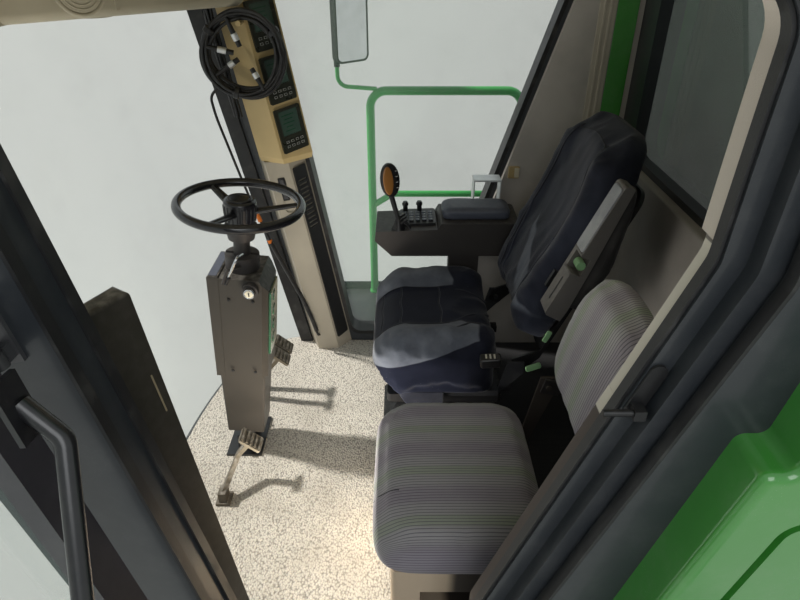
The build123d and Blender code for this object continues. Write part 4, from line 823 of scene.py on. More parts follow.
def wire(name, points, radius, finish, body, closed=False, sides=3):
    """A cable, piping or bead along a smooth line."""
    data = bpy.data.curves.new(name + "_line", "CURVE")
    data.dimensions = "3D"
    data.bevel_depth = radius
    data.bevel_resolution = sides
    data.use_fill_caps = not closed
    data.resolution_u = 5
    line = data.splines.new("NURBS")
    line.points.add(len(points) - 1)
    for point, place in zip(line.points, points):
        point.co = (*place, 1)
    line.use_cyclic_u = closed
    line.use_endpoint_u = not closed
    line.order_u = 3
    maker = bpy.data.objects.new(name + "_line", data)
    mesh = bpy.data.meshes.new_from_object(maker)
    bpy.data.objects.remove(maker)
    return shown(mesh, name, finish, body, 60)


# %% [markdown]
# ## Upholstery
# Each cushion starts as a divided cube, bent by a short function into its real outline: rounded
# corners, a crown, a waterfall front and raised sides. A cloth simulation with a little pressure
# inside then pulls the cover tight, and the seams and piping are laid on the finished surface.

# %% Cushion tools
def rounded(u, v, power):
    """A point of a square, moved so that the square's corners turn round."""
    reach = max(abs(u), abs(v), 1e-6)
    norm = (abs(u / reach) ** power + abs(v / reach) ** power) ** (1 / power)
    return u / norm, v / norm


def smooth_step(value, low, high):
    share = min(1.0, max(0.0, (value - low) / (high - low)))
    return share * share * (3 - 2 * share)


def bent_cube(cuts, shape):
    """A cube of half side 1, divided, with each point moved by a function."""
    form = bmesh.new()
    bmesh.ops.create_cube(form, size=2)
    bmesh.ops.subdivide_edges(form, edges=form.edges, cuts=cuts, use_grid_fill=True)
    for vert in form.verts:
        vert.co = shape(*vert.co)
    return form


PRESSURE = 4.0
PUFF_FRAMES = 20


def puffed(piece, voxel, cap):
    """Swells a closed piece by cloth simulation, no point further than cap."""
    remesh = piece.modifiers.new("even_mesh", "REMESH")
    remesh.mode = "VOXEL"
    remesh.voxel_size = voxel
    settle(piece)
    start = [vert.co.copy() for vert in piece.data.vertices]
    cloth = piece.modifiers.new("cover", "CLOTH")
    cloth.settings.use_pressure = True
    cloth.settings.uniform_pressure_force = PRESSURE
    cloth.settings.effector_weights.gravity = 0
    cloth.settings.quality = 4
    cloth.point_cache.frame_start = 1
    cloth.point_cache.frame_end = PUFF_FRAMES
    for number in range(1, PUFF_FRAMES + 1):
        scene.frame_set(number)
    settle(piece)
    for vert, old in zip(piece.data.vertices, start):
        move = vert.co - old
        if move.length > cap:
            vert.co = old + move * (cap / move.length)
    scene.frame_set(1)
    relax = piece.modifiers.new("relax", "SMOOTH")
    relax.factor = 0.5
    relax.iterations = 3
    settle(piece)
    piece.data.shade_smooth()
    return piece


def settle(piece):
    """Applies every modifier of a piece to its mesh."""
    seen = piece.evaluated_get(bpy.context.evaluated_depsgraph_get())
    mesh = bpy.data.meshes.new_from_object(seen)
    piece.modifiers.clear()
    piece.data = mesh


def on_surface(piece, points, way, lift=0.0):
    """Points pushed along a direction until they lie on a piece."""
    tree = BVHTree.FromObject(piece, bpy.context.evaluated_depsgraph_get())
    way = Vector(way).normalized()
    landed = []
    for point in points:
        hit = tree.ray_cast(Vector(point) - way * 0.5, way)[0]
        if hit is not None:
            landed.append(hit - way * lift)
    return landed


def wrinkle(x, y, z, size, height, stretch=(1, 1, 1), seed=0.0):
    """A soft crease field, in metres."""
    spot = Vector((x * stretch[0], y * stretch[1], z * stretch[2])) / size + Vector((seed, seed, seed))
    folds = 1 - abs(noise.noise(spot)) * 2.2
    return height * (folds ** 3 if folds > 0 else 0)


# %% Operator's cushion under its cover
COVER_MIDDLE = (SEAT_X, 0.1025)
COVER_HALF = (0.260, 0.198)
COVER_BOTTOM = DECK + 0.3455
TOE_RISE = 0.085


def operator_cushion_shape(u, v, w):
    """Cover of the seat cushion: hollow middle, raised sides, waterfall front, cut-back toe."""
    x, y = rounded(u, v, 7)
    edge = max(abs(u), abs(v))
    toe = TOE_RISE * min(1.0, max(0.0, (-v - 0.57) / 0.43))
    raised = 0.034 * smooth_step(abs(u), 0.38, 0.68)
    fall = 0.034 * smooth_step(-v, 0.45, 1.0) + 0.020 * smooth_step(edge, 0.84, 1.0)
    top = 0.152 + raised - fall
    lift = (w + 1) / 2
    height = toe + (top - toe) * lift
    waist = 1 - 0.025 * (1 - w * w) - 0.030 * smooth_step(w, 0.3, 1.0) * smooth_step(edge, 0.75, 1.0)
    place = Vector((COVER_MIDDLE[0] + x * COVER_HALF[0] * waist, COVER_MIDDLE[1] + y * COVER_HALF[1] * waist,
                    COVER_BOTTOM + height))
    if w > 0.9:
        place.z += wrinkle(*place, 0.10, 0.010, (1.0, 0.6, 0), 3.1) * smooth_step(v, -0.5, 0.5)
    return place


cushion = keep(bent_cube(22, operator_cushion_shape), "operator_cushion_cover", COVER_CLOTH, "seat")
puffed(cushion, 0.007, 0.008)
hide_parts("seat_cushion")

# %% Seams of the cushion cover
SEAM_CLOTH = plain_cloth("seam_cloth", (0.004, 0.005, 0.009), (0.010, 0.011, 0.018))
PALE_THREAD = plain_cloth("pale_seam_thread", (0.07, 0.075, 0.09), (0.12, 0.125, 0.14))
for number, seam_x in enumerate((SEAT_X - 0.112, SEAT_X + 0.112)):
    run = [(seam_x, -0.086 + 0.24 * step / 16, 1.2) for step in range(17)]
    wire(f"cushion_seam_{number}", on_surface(cushion, run, (0, 0, -1), 0.0003), 0.0017, SEAM_CLOTH, "seat")
for number, seam_y in enumerate((-0.058, 0.002, 0.128)):
    run = [(SEAT_X - 0.11 + 0.22 * step / 12, seam_y + 0.003 * math.sin(step), 1.2) for step in range(13)]
    wire(f"cushion_tuck_{number}", on_surface(cushion, run, (0, 0, -1), 0.0002), 0.0012, SEAM_CLOTH, "seat")
    stitches = [(x, y + 0.004, z) for x, y, z in run]
    wire(f"cushion_stitch_{number}", on_surface(cushion, stitches, (0, 0, -1), 0.0001), 0.0006, PALE_THREAD,
         "seat")

# %% Folds where the cover drapes off the backrest
FOLD_LINES = [
    # points over the cushion, in metres, and the fold's radius
    ([(-0.335, 0.150), (-0.325, 0.200), (-0.300, 0.262), (-0.290, 0.284)], 0.0075),
    ([(-0.130, 0.150), (-0.150, 0.190), (-0.190, 0.240), (-0.205, 0.282)], 0.0065),
    ([(-0.055, 0.165), (-0.090, 0.205), (-0.120, 0.262), (-0.130, 0.284)], 0.0080),
]
for number, (points, radius) in enumerate(FOLD_LINES):
    run = [(x, y, 1.2) for x, y in points]
    fold = wire(f"drape_fold_{number}", on_surface(cushion, run, (0, 0, -1), -0.002), radius, SKIRT_CLOTH, "seat")
    for vert in fold.data.vertices:
        share = smooth_step(vert.co.y, 0.145, 0.21)
        vert.co.z -= radius * (1 - share)

# %% Operator's backrest
BACK_HINGE = Vector((SEAT_X, 0.345, DECK + 0.420))
RECLINE = math.radians(23)
BACK_UP = Vector((0, math.sin(RECLINE), math.cos(RECLINE)))
BACK_OUT = Vector((0, -math.cos(RECLINE), math.sin(RECLINE)))


def on_back(x, up, out):
    """A point of the operator's backrest."""
    return BACK_HINGE + Vector((x, 0, 0)) + BACK_UP * up + BACK_OUT * out


def backrest_shape(u, v, w):
    """Cover of the backrest: wide below, round shoulders, deep side bolsters, hooded top."""
    x, y = rounded(u, v, 4.5 if v > 0 else 9)
    edge = max(abs(u), abs(v))
    up = 0.416 + y * 0.320
    width = 0.232 - 0.022 * smooth_step(v, 0.2, 1.0)
    bolster = 0.020 * smooth_step(abs(u), 0.48, 0.70)
    lumbar = 0.012 * math.exp(-(((v + 0.45) / 0.35) ** 2)) * (1 - abs(u))
    front = 0.054 + bolster + lumbar - 0.030 * smooth_step(edge, 0.82, 1.0) - 0.020 * smooth_step(v, 0.7, 1.0)
    rear = -0.039 + 0.012 * smooth_step(edge, 0.85, 1.0)
    out = rear + (front - rear) * (w + 1) / 2
    if w > 0.9:
        slack = smooth_step(-v, -0.2, 0.9)
        out += wrinkle(x, y, 0, 0.42, 0.010, (1.5, 0.8, 0), 5.7) * (0.3 + slack)
    narrow = 1 - 0.03 * smooth_step(w, 0.2, 1.0) * smooth_step(edge, 0.75, 1.0)
    out += 0.016 * smooth_step(v, 0.0, 1.0)
    return on_back(x * width * narrow - 0.003, up, out)


backrest = keep(bent_cube(24, backrest_shape), "operator_backrest_cover", BACK_CLOTH, "seat_back")
puffed(backrest, 0.008, 0.008)
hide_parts("seat_back_pad")

# %% Seams of the backrest cover
def back_run(points):
    """Seam points laid on the front of the backrest."""
    return on_surface(backrest, [on_back(x, up, 0) for x, up in points], -BACK_OUT, 0.0003)


for number, side in enumerate((-1, 1)):
    edge_line = [(side * (0.118 + 0.030 * math.sin(step / 24 * math.pi)), 0.11 + 0.56 * step / 24)
                 for step in range(25)]
    wire(f"backrest_seam_{number}", back_run(edge_line), 0.0019, SEAM_CLOTH, "seat_back")
    pale_line = [(x + side * 0.005, up) for x, up in edge_line]
    wire(f"backrest_stitch_{number}", back_run(pale_line), 0.0007, PALE_THREAD, "seat_back")
    # Each fold is a real ridge; its lighter cloth paints the highlight line along the bolster.
    fold_line = [(side * (0.150 - 0.05 * step / 10), 0.40 - 0.27 * step / 10) for step in range(11)]
    wire(f"backrest_fold_{number}", back_run(fold_line), 0.0045, BOLSTER_FOLD_HIGHLIGHT_CLOTH, "seat_back")
hood_line = [(-0.12 + 0.24 * step / 14, 0.655 + 0.020 * math.sin(step / 14 * math.pi)) for step in range(15)]
wire("backrest_hood_seam", back_run(hood_line), 0.0019, SEAM_CLOTH, "seat_back")
print("operator's seat done")

# %% Skirt of the cover
SKIRT_TOP = DECK + 0.360
SKIRT_DEEP = 0.106
SKIRT_HALF = (0.2495, 0.0)
SKIRT_FRONT = -0.012
SKIRT_REAR = 0.133
SKIRT_CORNER = 0.050


def skirt_line(share):
    """A point of the skirt's plan and its outward way, from the right end round to the left end."""
    left = SEAT_X + SKIRT_HALF[0]
    right = SEAT_X - SKIRT_HALF[0]
    depth = SKIRT_REAR - SKIRT_FRONT - SKIRT_CORNER
    width = left - right - 2 * SKIRT_CORNER
    arc = SKIRT_CORNER * math.pi / 2
    run = share * (2 * depth + width + 2 * arc)
    middle = SKIRT_FRONT + SKIRT_CORNER
    if run < depth:
        return Vector((right, SKIRT_REAR - run, 0)), Vector((-1, 0, 0))
    run -= depth
    if run < arc:
        turn = run / SKIRT_CORNER
        way = Vector((-math.cos(turn), -math.sin(turn), 0))
        return Vector((right + SKIRT_CORNER, middle, 0)) + way * SKIRT_CORNER, way
    run -= arc
    if run < width:
        return Vector((right + SKIRT_CORNER + run, SKIRT_FRONT, 0)), Vector((0, -1, 0))
    run -= width
    if run < arc:
        turn = run / SKIRT_CORNER
        way = Vector((math.sin(turn), -math.cos(turn), 0))
        return Vector((left - SKIRT_CORNER, middle, 0)) + way * SKIRT_CORNER, way
    run -= arc
    return Vector((left, middle + run, 0)), Vector((1, 0, 0))


skirt_form = bmesh.new()
bmesh.ops.create_grid(skirt_form, x_segments=120, y_segments=10, size=0.5)
for vert in skirt_form.verts:
    share = vert.co.x + 0.5
    down = 0.5 - vert.co.y
    spot, way = skirt_line(share)
    deep = SKIRT_DEEP * (0.26 + 0.74 * smooth_step(spot.y, SKIRT_FRONT, 0.075))
    wave = 0.0040 * math.sin(share * 62) * down + 0.0025 * math.sin(share * 23 + 1) * down
    vert.co = spot + way * (wave - 0.004 * down) + Vector((0, 0, SKIRT_TOP - deep * down))
skirt = keep(skirt_form, "cover_skirt", SKIRT_CLOTH, "seat", 80)
thicken = skirt.modifiers.new("cloth_thickness", "SOLIDIFY")
thicken.thickness = 0.0018
thicken.offset = -1
settle(skirt)
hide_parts("seat_skirt")

# %% Instructor's cushion
GUEST_MIDDLE = (GUEST_X - 0.005, 0.136)
GUEST_HALF = (0.259, 0.208)
GUEST_BOTTOM = DECK + 0.3325


def guest_cushion_shape(u, v, w):
    """A softly crowned cushion with wide rounded corners and a rolled front."""
    x, y = rounded(u, v, 5.5)
    edge = max(abs(u), abs(v))
    crown = 0.008 * (1 - u * u) * (1 - v * v)
    top = 0.099 + crown - 0.022 * smooth_step(edge, 0.76, 1.0) - 0.012 * smooth_step(-v, 0.5, 1.0)
    waist = 1 - 0.035 * smooth_step(w, 0.2, 1.0) * smooth_step(edge, 0.7, 1.0) - 0.05 * smooth_step(-w, 0.2, 1.0)
    return Vector((GUEST_MIDDLE[0] + x * GUEST_HALF[0] * waist, GUEST_MIDDLE[1] + y * GUEST_HALF[1] * waist,
                   GUEST_BOTTOM + top * (w + 1) / 2))


guest_cushion = keep(bent_cube(20, guest_cushion_shape), "instructor_cushion", STRIPED, "cab")
puffed(guest_cushion, 0.007, 0.008)
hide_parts("guest_cushion")

# %% Instructor's backrest
GUEST_HINGE = Vector((0.3825, 0.395, DECK + 0.505))
GUEST_TILT = math.radians(13.7)
GUEST_UP = Vector((0, math.sin(GUEST_TILT), math.cos(GUEST_TILT)))
GUEST_OUT = Vector((0, -math.cos(GUEST_TILT), math.sin(GUEST_TILT)))


def on_guest_back(x, up, out):
    """A point of the instructor's backrest."""
    return GUEST_HINGE + Vector((x, 0, 0)) + GUEST_UP * up + GUEST_OUT * out


def guest_backrest_shape(u, v, w):
    """A small backrest: round top, squarer foot, crowned front."""
    x, y = rounded(u, v, 2.7 if v > 0 else 6)
    edge = max(abs(u), abs(v))
    front = 0.038 + 0.011 * (1 - u * u) * (1 - v * v) - 0.024 * smooth_step(edge, 0.72, 1.0)
    rear = -0.025 + 0.010 * smooth_step(edge, 0.8, 1.0)
    return on_guest_back(-0.008 + x * 0.200, 0.235 + y * 0.172, rear + (front - rear) * (w + 1) / 2)


guest_backrest = keep(bent_cube(20, guest_backrest_shape), "instructor_backrest", STRIPED_BACK_PAINTED_SUNLIGHT, "guest_back")
puffed(guest_backrest, 0.007, 0.008)
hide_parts("guest_back_pad")

# %% Tuck at the front corner of the instructor's cushion
run = [(0.452 + 0.002 * step, -0.062 + 0.010 * step, 1.0) for step in range(7)]
wire("cushion_corner_tuck", on_surface(guest_cushion, run, (0, 0, -1), 0.0), 0.0013, SEAM_CLOTH, "cab")
print("instructor's seat done")

# %% Pad of the console and pad of the armrest
CONSOLE_PAD = ((-0.604, 0.272), (0.062, 0.123), DECK + 0.6705)


def console_pad_shape(u, v, w):
    """An arm pad with round ends and a crowned top."""
    middle, half, bottom = CONSOLE_PAD
    x, y = rounded(u, v, 7)
    edge = max(abs(u), abs(v))
    top = 0.037 + 0.002 * (1 - u * u) - 0.009 * smooth_step(edge, 0.84, 1.0)
    return Vector((middle[0] + x * half[0], middle[1] + y * half[1], bottom + top * (w + 1) / 2))


console_pad = keep(bent_cube(14, console_pad_shape), "console_arm_pad", PAD_GREY, "seat")
puffed(console_pad, 0.005, 0.004)
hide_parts("console_pad")

ARM_INNER = 0.058 - SEAT_X
ARM_WIDE = 0.062


def arm_pad_shape(u, v, w):
    """Pad of the folded armrest: it narrows to the top and bulges to the rear."""
    x, y = rounded(u, v, 5)
    up = 0.4715 + y * 0.1695
    share = (up - 0.302) / 0.339
    joint = 0.036 + 0.026 * share
    rear = -0.004 - 0.003 * math.sin(share * math.pi) if share < 0.45 else -0.004 + 0.088 * (share - 0.45)
    rear += 0.006 * smooth_step(max(abs(u), abs(v)), 0.7, 1.0)
    out = joint + (rear - joint) * (w + 1) / 2
    return on_back(ARM_INNER + ARM_WIDE * (0.5 + 0.485 * x), up, out)


ARM_CLOTH = plain_cloth("armrest_pad_cloth", (0.030, 0.028, 0.028), (0.050, 0.047, 0.046))
arm_pad = keep(bent_cube(12, arm_pad_shape), "armrest_arm_pad", ARM_CLOTH, "armrest")
puffed(arm_pad, 0.004, 0.003)
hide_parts("armrest_pad")

# %% [markdown]
# ## Armrest
# Folded up, the armrest shows its underside: a textured facing whose pale grey is painted sheen,
# a pocket with a green knob that sets its angle, and a slot below.

# %% Facing, knob and slot of the armrest
# The facing's pale grey paints the sheen of light on its smooth underside.
FACING_PAINTED_SHEEN = plain_cloth("armrest_facing_painted_sheen", (0.20, 0.215, 0.235), (0.33, 0.345, 0.36), 0.3)


def on_arm(x, up, out):
    """A place on the armrest that faces forwards, with its x axis to the left."""
    return placed(on_back(ARM_INNER + x, up, out), (1, 0, 0), BACK_OUT)


facing = bmesh.new()
add_slab(facing, on_arm(0.031, 0.5425, 0.0835), 0.054, 0.176, 0.0055, 0.010)
keep(facing, "armrest_facing", FACING_PAINTED_SHEEN, "armrest", 40, 0.0015)
slot = bmesh.new()
add_slab(slot, on_arm(0.036, 0.338, 0.0840), 0.006, 0.070, 0.0026, 0.0025)
keep(slot, "armrest_slot", BLACK, "armrest")
knob = bmesh.new()
KNOB_RADIUS = 0.0108
add_rod(knob, on_back(ARM_INNER + 0.026, 0.422, 0.070), on_back(ARM_INNER + 0.058, 0.422, 0.070), KNOB_RADIUS)
for number in range(16):
    turn = math.tau * number / 16
    spot = (0.422 + KNOB_RADIUS * math.sin(turn), 0.070 + KNOB_RADIUS * math.cos(turn))
    add_rod(knob, on_back(ARM_INNER + 0.027, *spot), on_back(ARM_INNER + 0.057, *spot), 0.0013, segments=6)
keep(knob, "armrest_knob", KNOB_GREEN, "armrest", 50)
lips = bmesh.new()
add_slab(lips, on_arm(0.031, 0.393, 0.0845), 0.060, 0.006, 0.0030, 0.002)
add_slab(lips, on_arm(0.031, 0.450, 0.0845), 0.060, 0.005, 0.0030, 0.002)
keep(lips, "armrest_pocket_lips", ARM_SHELL, "armrest", 40, 0.001)

# %% [markdown]
# ## Console
# The right console carries soft keys in rows, two knobs, the paddles of the hydraulics, and the
# multi-function lever: a flat oval grip, black round its rim with a brown inlay and a row of buttons.

# %% Key marks, knob tops and paddles
KEY_SLOPE = math.atan2(8, 218)
KEY_PLACE = placed((-0.621, 0.065, DECK + 0.6458), (1, 0, 0), (0, -math.sin(KEY_SLOPE), math.cos(KEY_SLOPE)))
KEY_BLUE = moulded("blue_grey_key", (0.060, 0.075, 0.105), 0.38, 0.1)
key_tops = bmesh.new()
key_marks = bmesh.new()
for column in range(4):
    for row in range(5):
        spot = KEY_PLACE @ shift(0.012 + (column - 1.5) * 0.022, (row - 2) * 0.023, 0.0138)
        add_slab(key_tops, spot, 0.0175, 0.0170, 0.0026, 0.005)
        add_slab(key_marks, spot @ shift(0, 0.0020, 0.0025), 0.0085, 0.0018, 0.0004)
        if (column + row) % 2:
            add_slab(key_marks, spot @ shift(-0.002, -0.002, 0.0025), 0.0018, 0.0055, 0.0004)
keep(key_tops, "console_key_tops", KEY_BLUE, "seat", 40, 0.0006)
keep(key_marks, "console_key_marks", KEY_MARK, "seat")
knobs = bmesh.new()
for y in (-0.044, 0.008):
    foot = KEY_PLACE @ shift(-0.054, y, 0.0305)
    top = KEY_PLACE @ shift(-0.054, y, 0.0450)
    add_rod(knobs, foot.translation, top.translation, 0.0115, 0.0085)
    for number in range(14):
        turn = math.tau * number / 14
        rib = KEY_PLACE @ shift(-0.054 + 0.0112 * math.cos(turn), y + 0.0112 * math.sin(turn), 0.0)
        low = rib @ shift(z=0.0305)
        high = rib @ shift(z=0.0395)
        add_rod(knobs, low.translation, high.translation, 0.0010, segments=6)
keep(knobs, "console_knobs", WHEEL_BLACK, "seat", 40, 0.0008)
paddles = bmesh.new()
for number in range(3):
    foot = Vector((-0.548 + 0.016 * number, 0.030 + 0.004 * number, DECK + 0.652))
    tip = foot + Vector((0.004, -0.022, 0.034 - 0.004 * number))
    add_rod(paddles, foot, tip, 0.0045, 0.0040, 14)
    add_slab(paddles, placed(tip, (1, 0, 0), (0.1, -0.55, 0.83)), 0.013, 0.030, 0.007, 0.004)
keep(paddles, "console_paddles", BLACK, "seat", 40, 0.0012)

# %% Multi-function lever
LEVER_FOOT = Vector((-0.532, -0.006, DECK + 0.6440))
GRIP_MIDDLE = Vector((-0.549, -0.033, DECK + 0.817))
GRIP_FACE = placed(GRIP_MIDDLE, (-0.45, 0.89, 0), (0.87, 0.44, 0.22))
stem = bmesh.new()
for number in range(6):
    low = LEVER_FOOT + Vector((0, 0, 0.0068 * number))
    add_rod(stem, low, low + Vector((0, 0, 0.0068)), 0.0250 - 0.0024 * number, 0.0215 - 0.0024 * number, 24)
add_rod(stem, LEVER_FOOT + Vector((0, 0, 0.036)), GRIP_MIDDLE - Vector((0, 0, 0.045)), 0.0085, 0.0095, 20)
lever_stem = keep(stem, "lever_boot_and_stem", BLACK, "seat", 50, 0.0008)


def add_oval(form, place, wide, tall, thick, bevel):
    """A flat oval that rises from the x-y plane of place, with its far edge rounded over."""
    grown = place @ Matrix.Diagonal((wide / 2, tall / 2, 1, 1))
    made = bmesh.ops.create_cone(form, cap_ends=True, segments=40, radius1=1, radius2=1, depth=thick,
                                 matrix=grown @ shift(z=thick / 2))
    up = (place.to_3x3() @ Vector((0, 0, 1))).normalized()
    height = place.translation.dot(up) + thick - 1e-5
    edges = {edge for vert in made["verts"] for edge in vert.link_edges}
    rim = [edge for edge in edges if all(vert.co.dot(up) > height for vert in edge.verts)]
    bmesh.ops.bevel(form, geom=rim, offset=bevel, offset_type="OFFSET", segments=4, profile=0.5,
                    affect="EDGES", material=-1)


grip = bmesh.new()
add_oval(grip, GRIP_FACE @ shift(z=-0.010), 0.068, 0.116, 0.020, 0.008)
grip_rim = keep(grip, "lever_grip", BLACK, "seat", 50)
inlay = bmesh.new()
add_oval(inlay, GRIP_FACE @ shift(x=-0.0125, z=0.0088), 0.038, 0.096, 0.0040, 0.0030)
keep(inlay, "lever_inlay", GOLD_BROWN, "seat", 50)
buttons = bmesh.new()
button_marks = bmesh.new()
for row in range(4):
    foot = GRIP_FACE @ shift(x=0.0180, y=0.030 - 0.019 * row, z=0.009)
    add_rod(buttons, foot.translation, (foot @ shift(z=0.006)).translation, 0.0070, 0.0058, 16)
    add_slab(button_marks, foot @ shift(z=0.0060), 0.0060, 0.0018, 0.0004)
keep(buttons, "lever_buttons", WHEEL_BLACK, "seat", 50, 0.0008)
keep(button_marks, "lever_button_marks", KEY_MARK, "seat")
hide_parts("console_lever")

# %% Sheet metal bracket: its holes and side plates
holes = bmesh.new()
for y in (0.290, 0.320, 0.350):
    for x in (-0.722, -0.685):
        add_rod(holes, (x, y, DECK + 0.7695), (x, y, DECK + 0.7704), 0.0050, segments=18)
keep(holes, "bracket_holes", BLACK, "seat")
plates = bmesh.new()
for y in (0.272, 0.368):
    add_slab(plates, placed((-0.7025, y, DECK + 0.7175), (1, 0, 0), (0, 1, 0)), 0.060, 0.088, 0.0012, 0.004)
add_slab(plates, placed((-0.7025, 0.320, DECK + 0.7705)), 0.062, 0.098, 0.0014, 0.004)
keep(plates, "bracket_side_plates", BRIGHT, "seat", 40)
print("console done")

# %% [markdown]
# ## Steering wheel and column
# The wheel's hub has a ribbed neck and a glossy cap. Under it the collar carries a key switch with
# a chrome ring, and the tilt lever hangs from it on its left.

# %% Hub cap
COLUMN_FOOT = Vector((-0.165, -0.536, DECK))
COLUMN_LEAN = math.radians(5.5)
COLUMN_UP = Vector((0, math.sin(COLUMN_LEAN), math.cos(COLUMN_LEAN)))
COLUMN_BACK = Vector((0, math.cos(COLUMN_LEAN), -math.sin(COLUMN_LEAN)))


def on_column(x, y, height):
    """A point of the steering column: x to the left, y to the rear, height along its axis."""
    return COLUMN_FOOT + Vector((x, 0, 0)) + COLUMN_BACK * y + COLUMN_UP * height


hub_top = on_surface(NODES["steering_wheel"], [on_column(0.004, 0, 1.2)], -COLUMN_UP)[0]
hub_height = (hub_top - COLUMN_FOOT).dot(COLUMN_UP)
cap_place = placed(on_column(0, 0, hub_height - 0.001), (1, 0, 0), COLUMN_UP)
cap = bmesh.new()
add_oval(cap, cap_place, 0.056, 0.056, 0.004, 0.0025)
add_ring(cap, cap_place @ shift(z=0.0020), 0.0330, 0.0030, 10, 48)
add_ring(cap, cap_place @ shift(z=-0.004), 0.0395, 0.0028, 10, 48)
keep(cap, "wheel_hub_cap", WHEEL_BLACK, "wheel", 50)
HUB_RIBS = 20
ribs = bmesh.new()
for number in range(HUB_RIBS):
    turn = math.tau * number / HUB_RIBS
    low = on_column(0.0425 * math.cos(turn), 0.0425 * math.sin(turn), hub_height - 0.062)
    high = on_column(0.0462 * math.cos(turn), 0.0462 * math.sin(turn), hub_height - 0.016)
    add_rod(ribs, low, high, 0.0024, segments=8)
keep(ribs, "wheel_hub_ribs", WHEEL_BLACK, "wheel", 50)

# %% Key switch, tilt lever and the column's screws
BOSS_FACE = 0.1042
switch_place = placed(on_column(BOSS_FACE, 0.040, 0.660), (0, 1, 0), (1, 0, 0))
ring = bmesh.new()
add_ring(ring, switch_place @ shift(z=0.002), 0.0135, 0.0028, 12, 36)
keep(ring, "key_switch_ring", CHROME, "column", 60)
key = bmesh.new()
add_oval(key, switch_place, 0.023, 0.023, 0.0045, 0.001)
keep(key, "key_switch_face", CREAM, "column", 50)
key_slot = bmesh.new()
add_slab(key_slot, switch_place @ shift(z=0.0040), 0.0035, 0.012, 0.0015, 0.001)
keep(key_slot, "key_slot", BLACK, "column")
lever_line = [(-0.118, -0.452, DECK + 0.752), (-0.082, -0.454, DECK + 0.764), (-0.070, -0.462, DECK + 0.750),
              (-0.070, -0.480, DECK + 0.715), (-0.070, -0.492, DECK + 0.697)]
wire("tilt_lever", lever_line, 0.0042, CHROME, "column", sides=5)
lever_end = bmesh.new()
add_rod(lever_end, (-0.070, -0.487, DECK + 0.704), (-0.070, -0.500, DECK + 0.680), 0.0075, 0.0065, 18)
keep(lever_end, "tilt_lever_end", BLACK, "column", 50, 0.0015)
screws = bmesh.new()
for y, height in ((0.045, 0.36), (0.045, 0.62), (-0.025, 0.36), (-0.025, 0.62)):
    foot = on_column(0.0822, y, height)
    add_rod(screws, foot, foot + Vector((0.0025, 0, 0)), 0.0050, 0.0040, 16)
keep(screws, "column_screws", BLACK, "column", 40)
COVER_LOW, COVER_HIGH = (Vector(corner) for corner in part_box("column_front_cover"))
above_cover = Vector(((COVER_LOW.x + COVER_HIGH.x) / 2, COVER_HIGH.y - 0.018, COVER_HIGH.z))
cover_top = on_surface(NODES["column_front_cover"], [above_cover], -COLUMN_UP, -0.0004)[0]
top_pad = bmesh.new()
add_slab(top_pad, placed(cover_top, (1, 0, 0), COLUMN_UP), 0.150, 0.024, 0.0016, 0.003)
keep(top_pad, "column_top_pad", PAD_GREY, "column", 40, 0.0005)

# %% [markdown]
# ## Right post
# Old display units sit one above the other on the post, with a tied coil of cable hung over them.

# %% Frames and keys of the display units
POST_LEAN = 0.17
FACE_ENDS = ((-0.655, -0.270), (-0.742, -0.175))
UNIT_HEIGHTS = (0.952, 1.120, 1.288)


def post_face(ends, height):
    """A place on a leaning face of the post: x across it, y up the lean, z outwards."""
    (x1, y1), (x2, y2) = ends
    lean = Vector((0, -POST_LEAN, 1)).normalized()
    across = Vector((x2 - x1, y2 - y1, 0))
    across = (across - lean * across.dot(lean)).normalized()
    middle = ((x1 + x2) / 2, (y1 + y2) / 2 - POST_LEAN * height, DECK + height)
    return placed(middle, across, across.cross(lean))


key_lines = bmesh.new()
screen_lines = bmesh.new()
for height in UNIT_HEIGHTS:
    unit = post_face(FACE_ENDS, height)
    for column in range(4):
        for row in range(2):
            spot = unit @ shift((column - 1.5) * 0.020, -0.046 + (row - 0.5) * 0.016, 0.0100)
            for side in (-1, 1):
                add_slab(key_lines, spot @ shift(y=side * 0.0034), 0.0112, 0.0009, 0.0003)
                add_slab(key_lines, spot @ shift(x=side * 0.0052), 0.0009, 0.0060, 0.0003)
    for row in range(5):
        long = (0.052, 0.036, 0.046, 0.028, 0.040)[row]
        add_slab(screen_lines, unit @ shift(-0.004, 0.050 - 0.013 * row, 0.0060), long, 0.0032, 0.0003)
keep(key_lines, "display_key_outlines", KEY_MARK, "cab")
keep(screen_lines, "display_screen_bars", GAUGE_GREEN, "cab")

# %% Small switches on the lower post
COVER_ENDS = ((-0.700, -0.350), (-0.705, -0.266))
switch_frames = bmesh.new()
switch_keys = bmesh.new()
for height in (0.752, 0.700):
    face = post_face(COVER_ENDS, height)
    add_slab(switch_frames, face @ shift(z=-0.0005), 0.026, 0.036, 0.0035, 0.003)
    add_slab(switch_keys, face @ shift(z=0.0028), 0.015, 0.023, 0.0020, 0.002)
keep(switch_frames, "post_switch_frames", BLACK, "cab", 40, 0.0008)
keep(switch_keys, "post_switch_keys", MACHINE, "cab", 40, 0.0006)

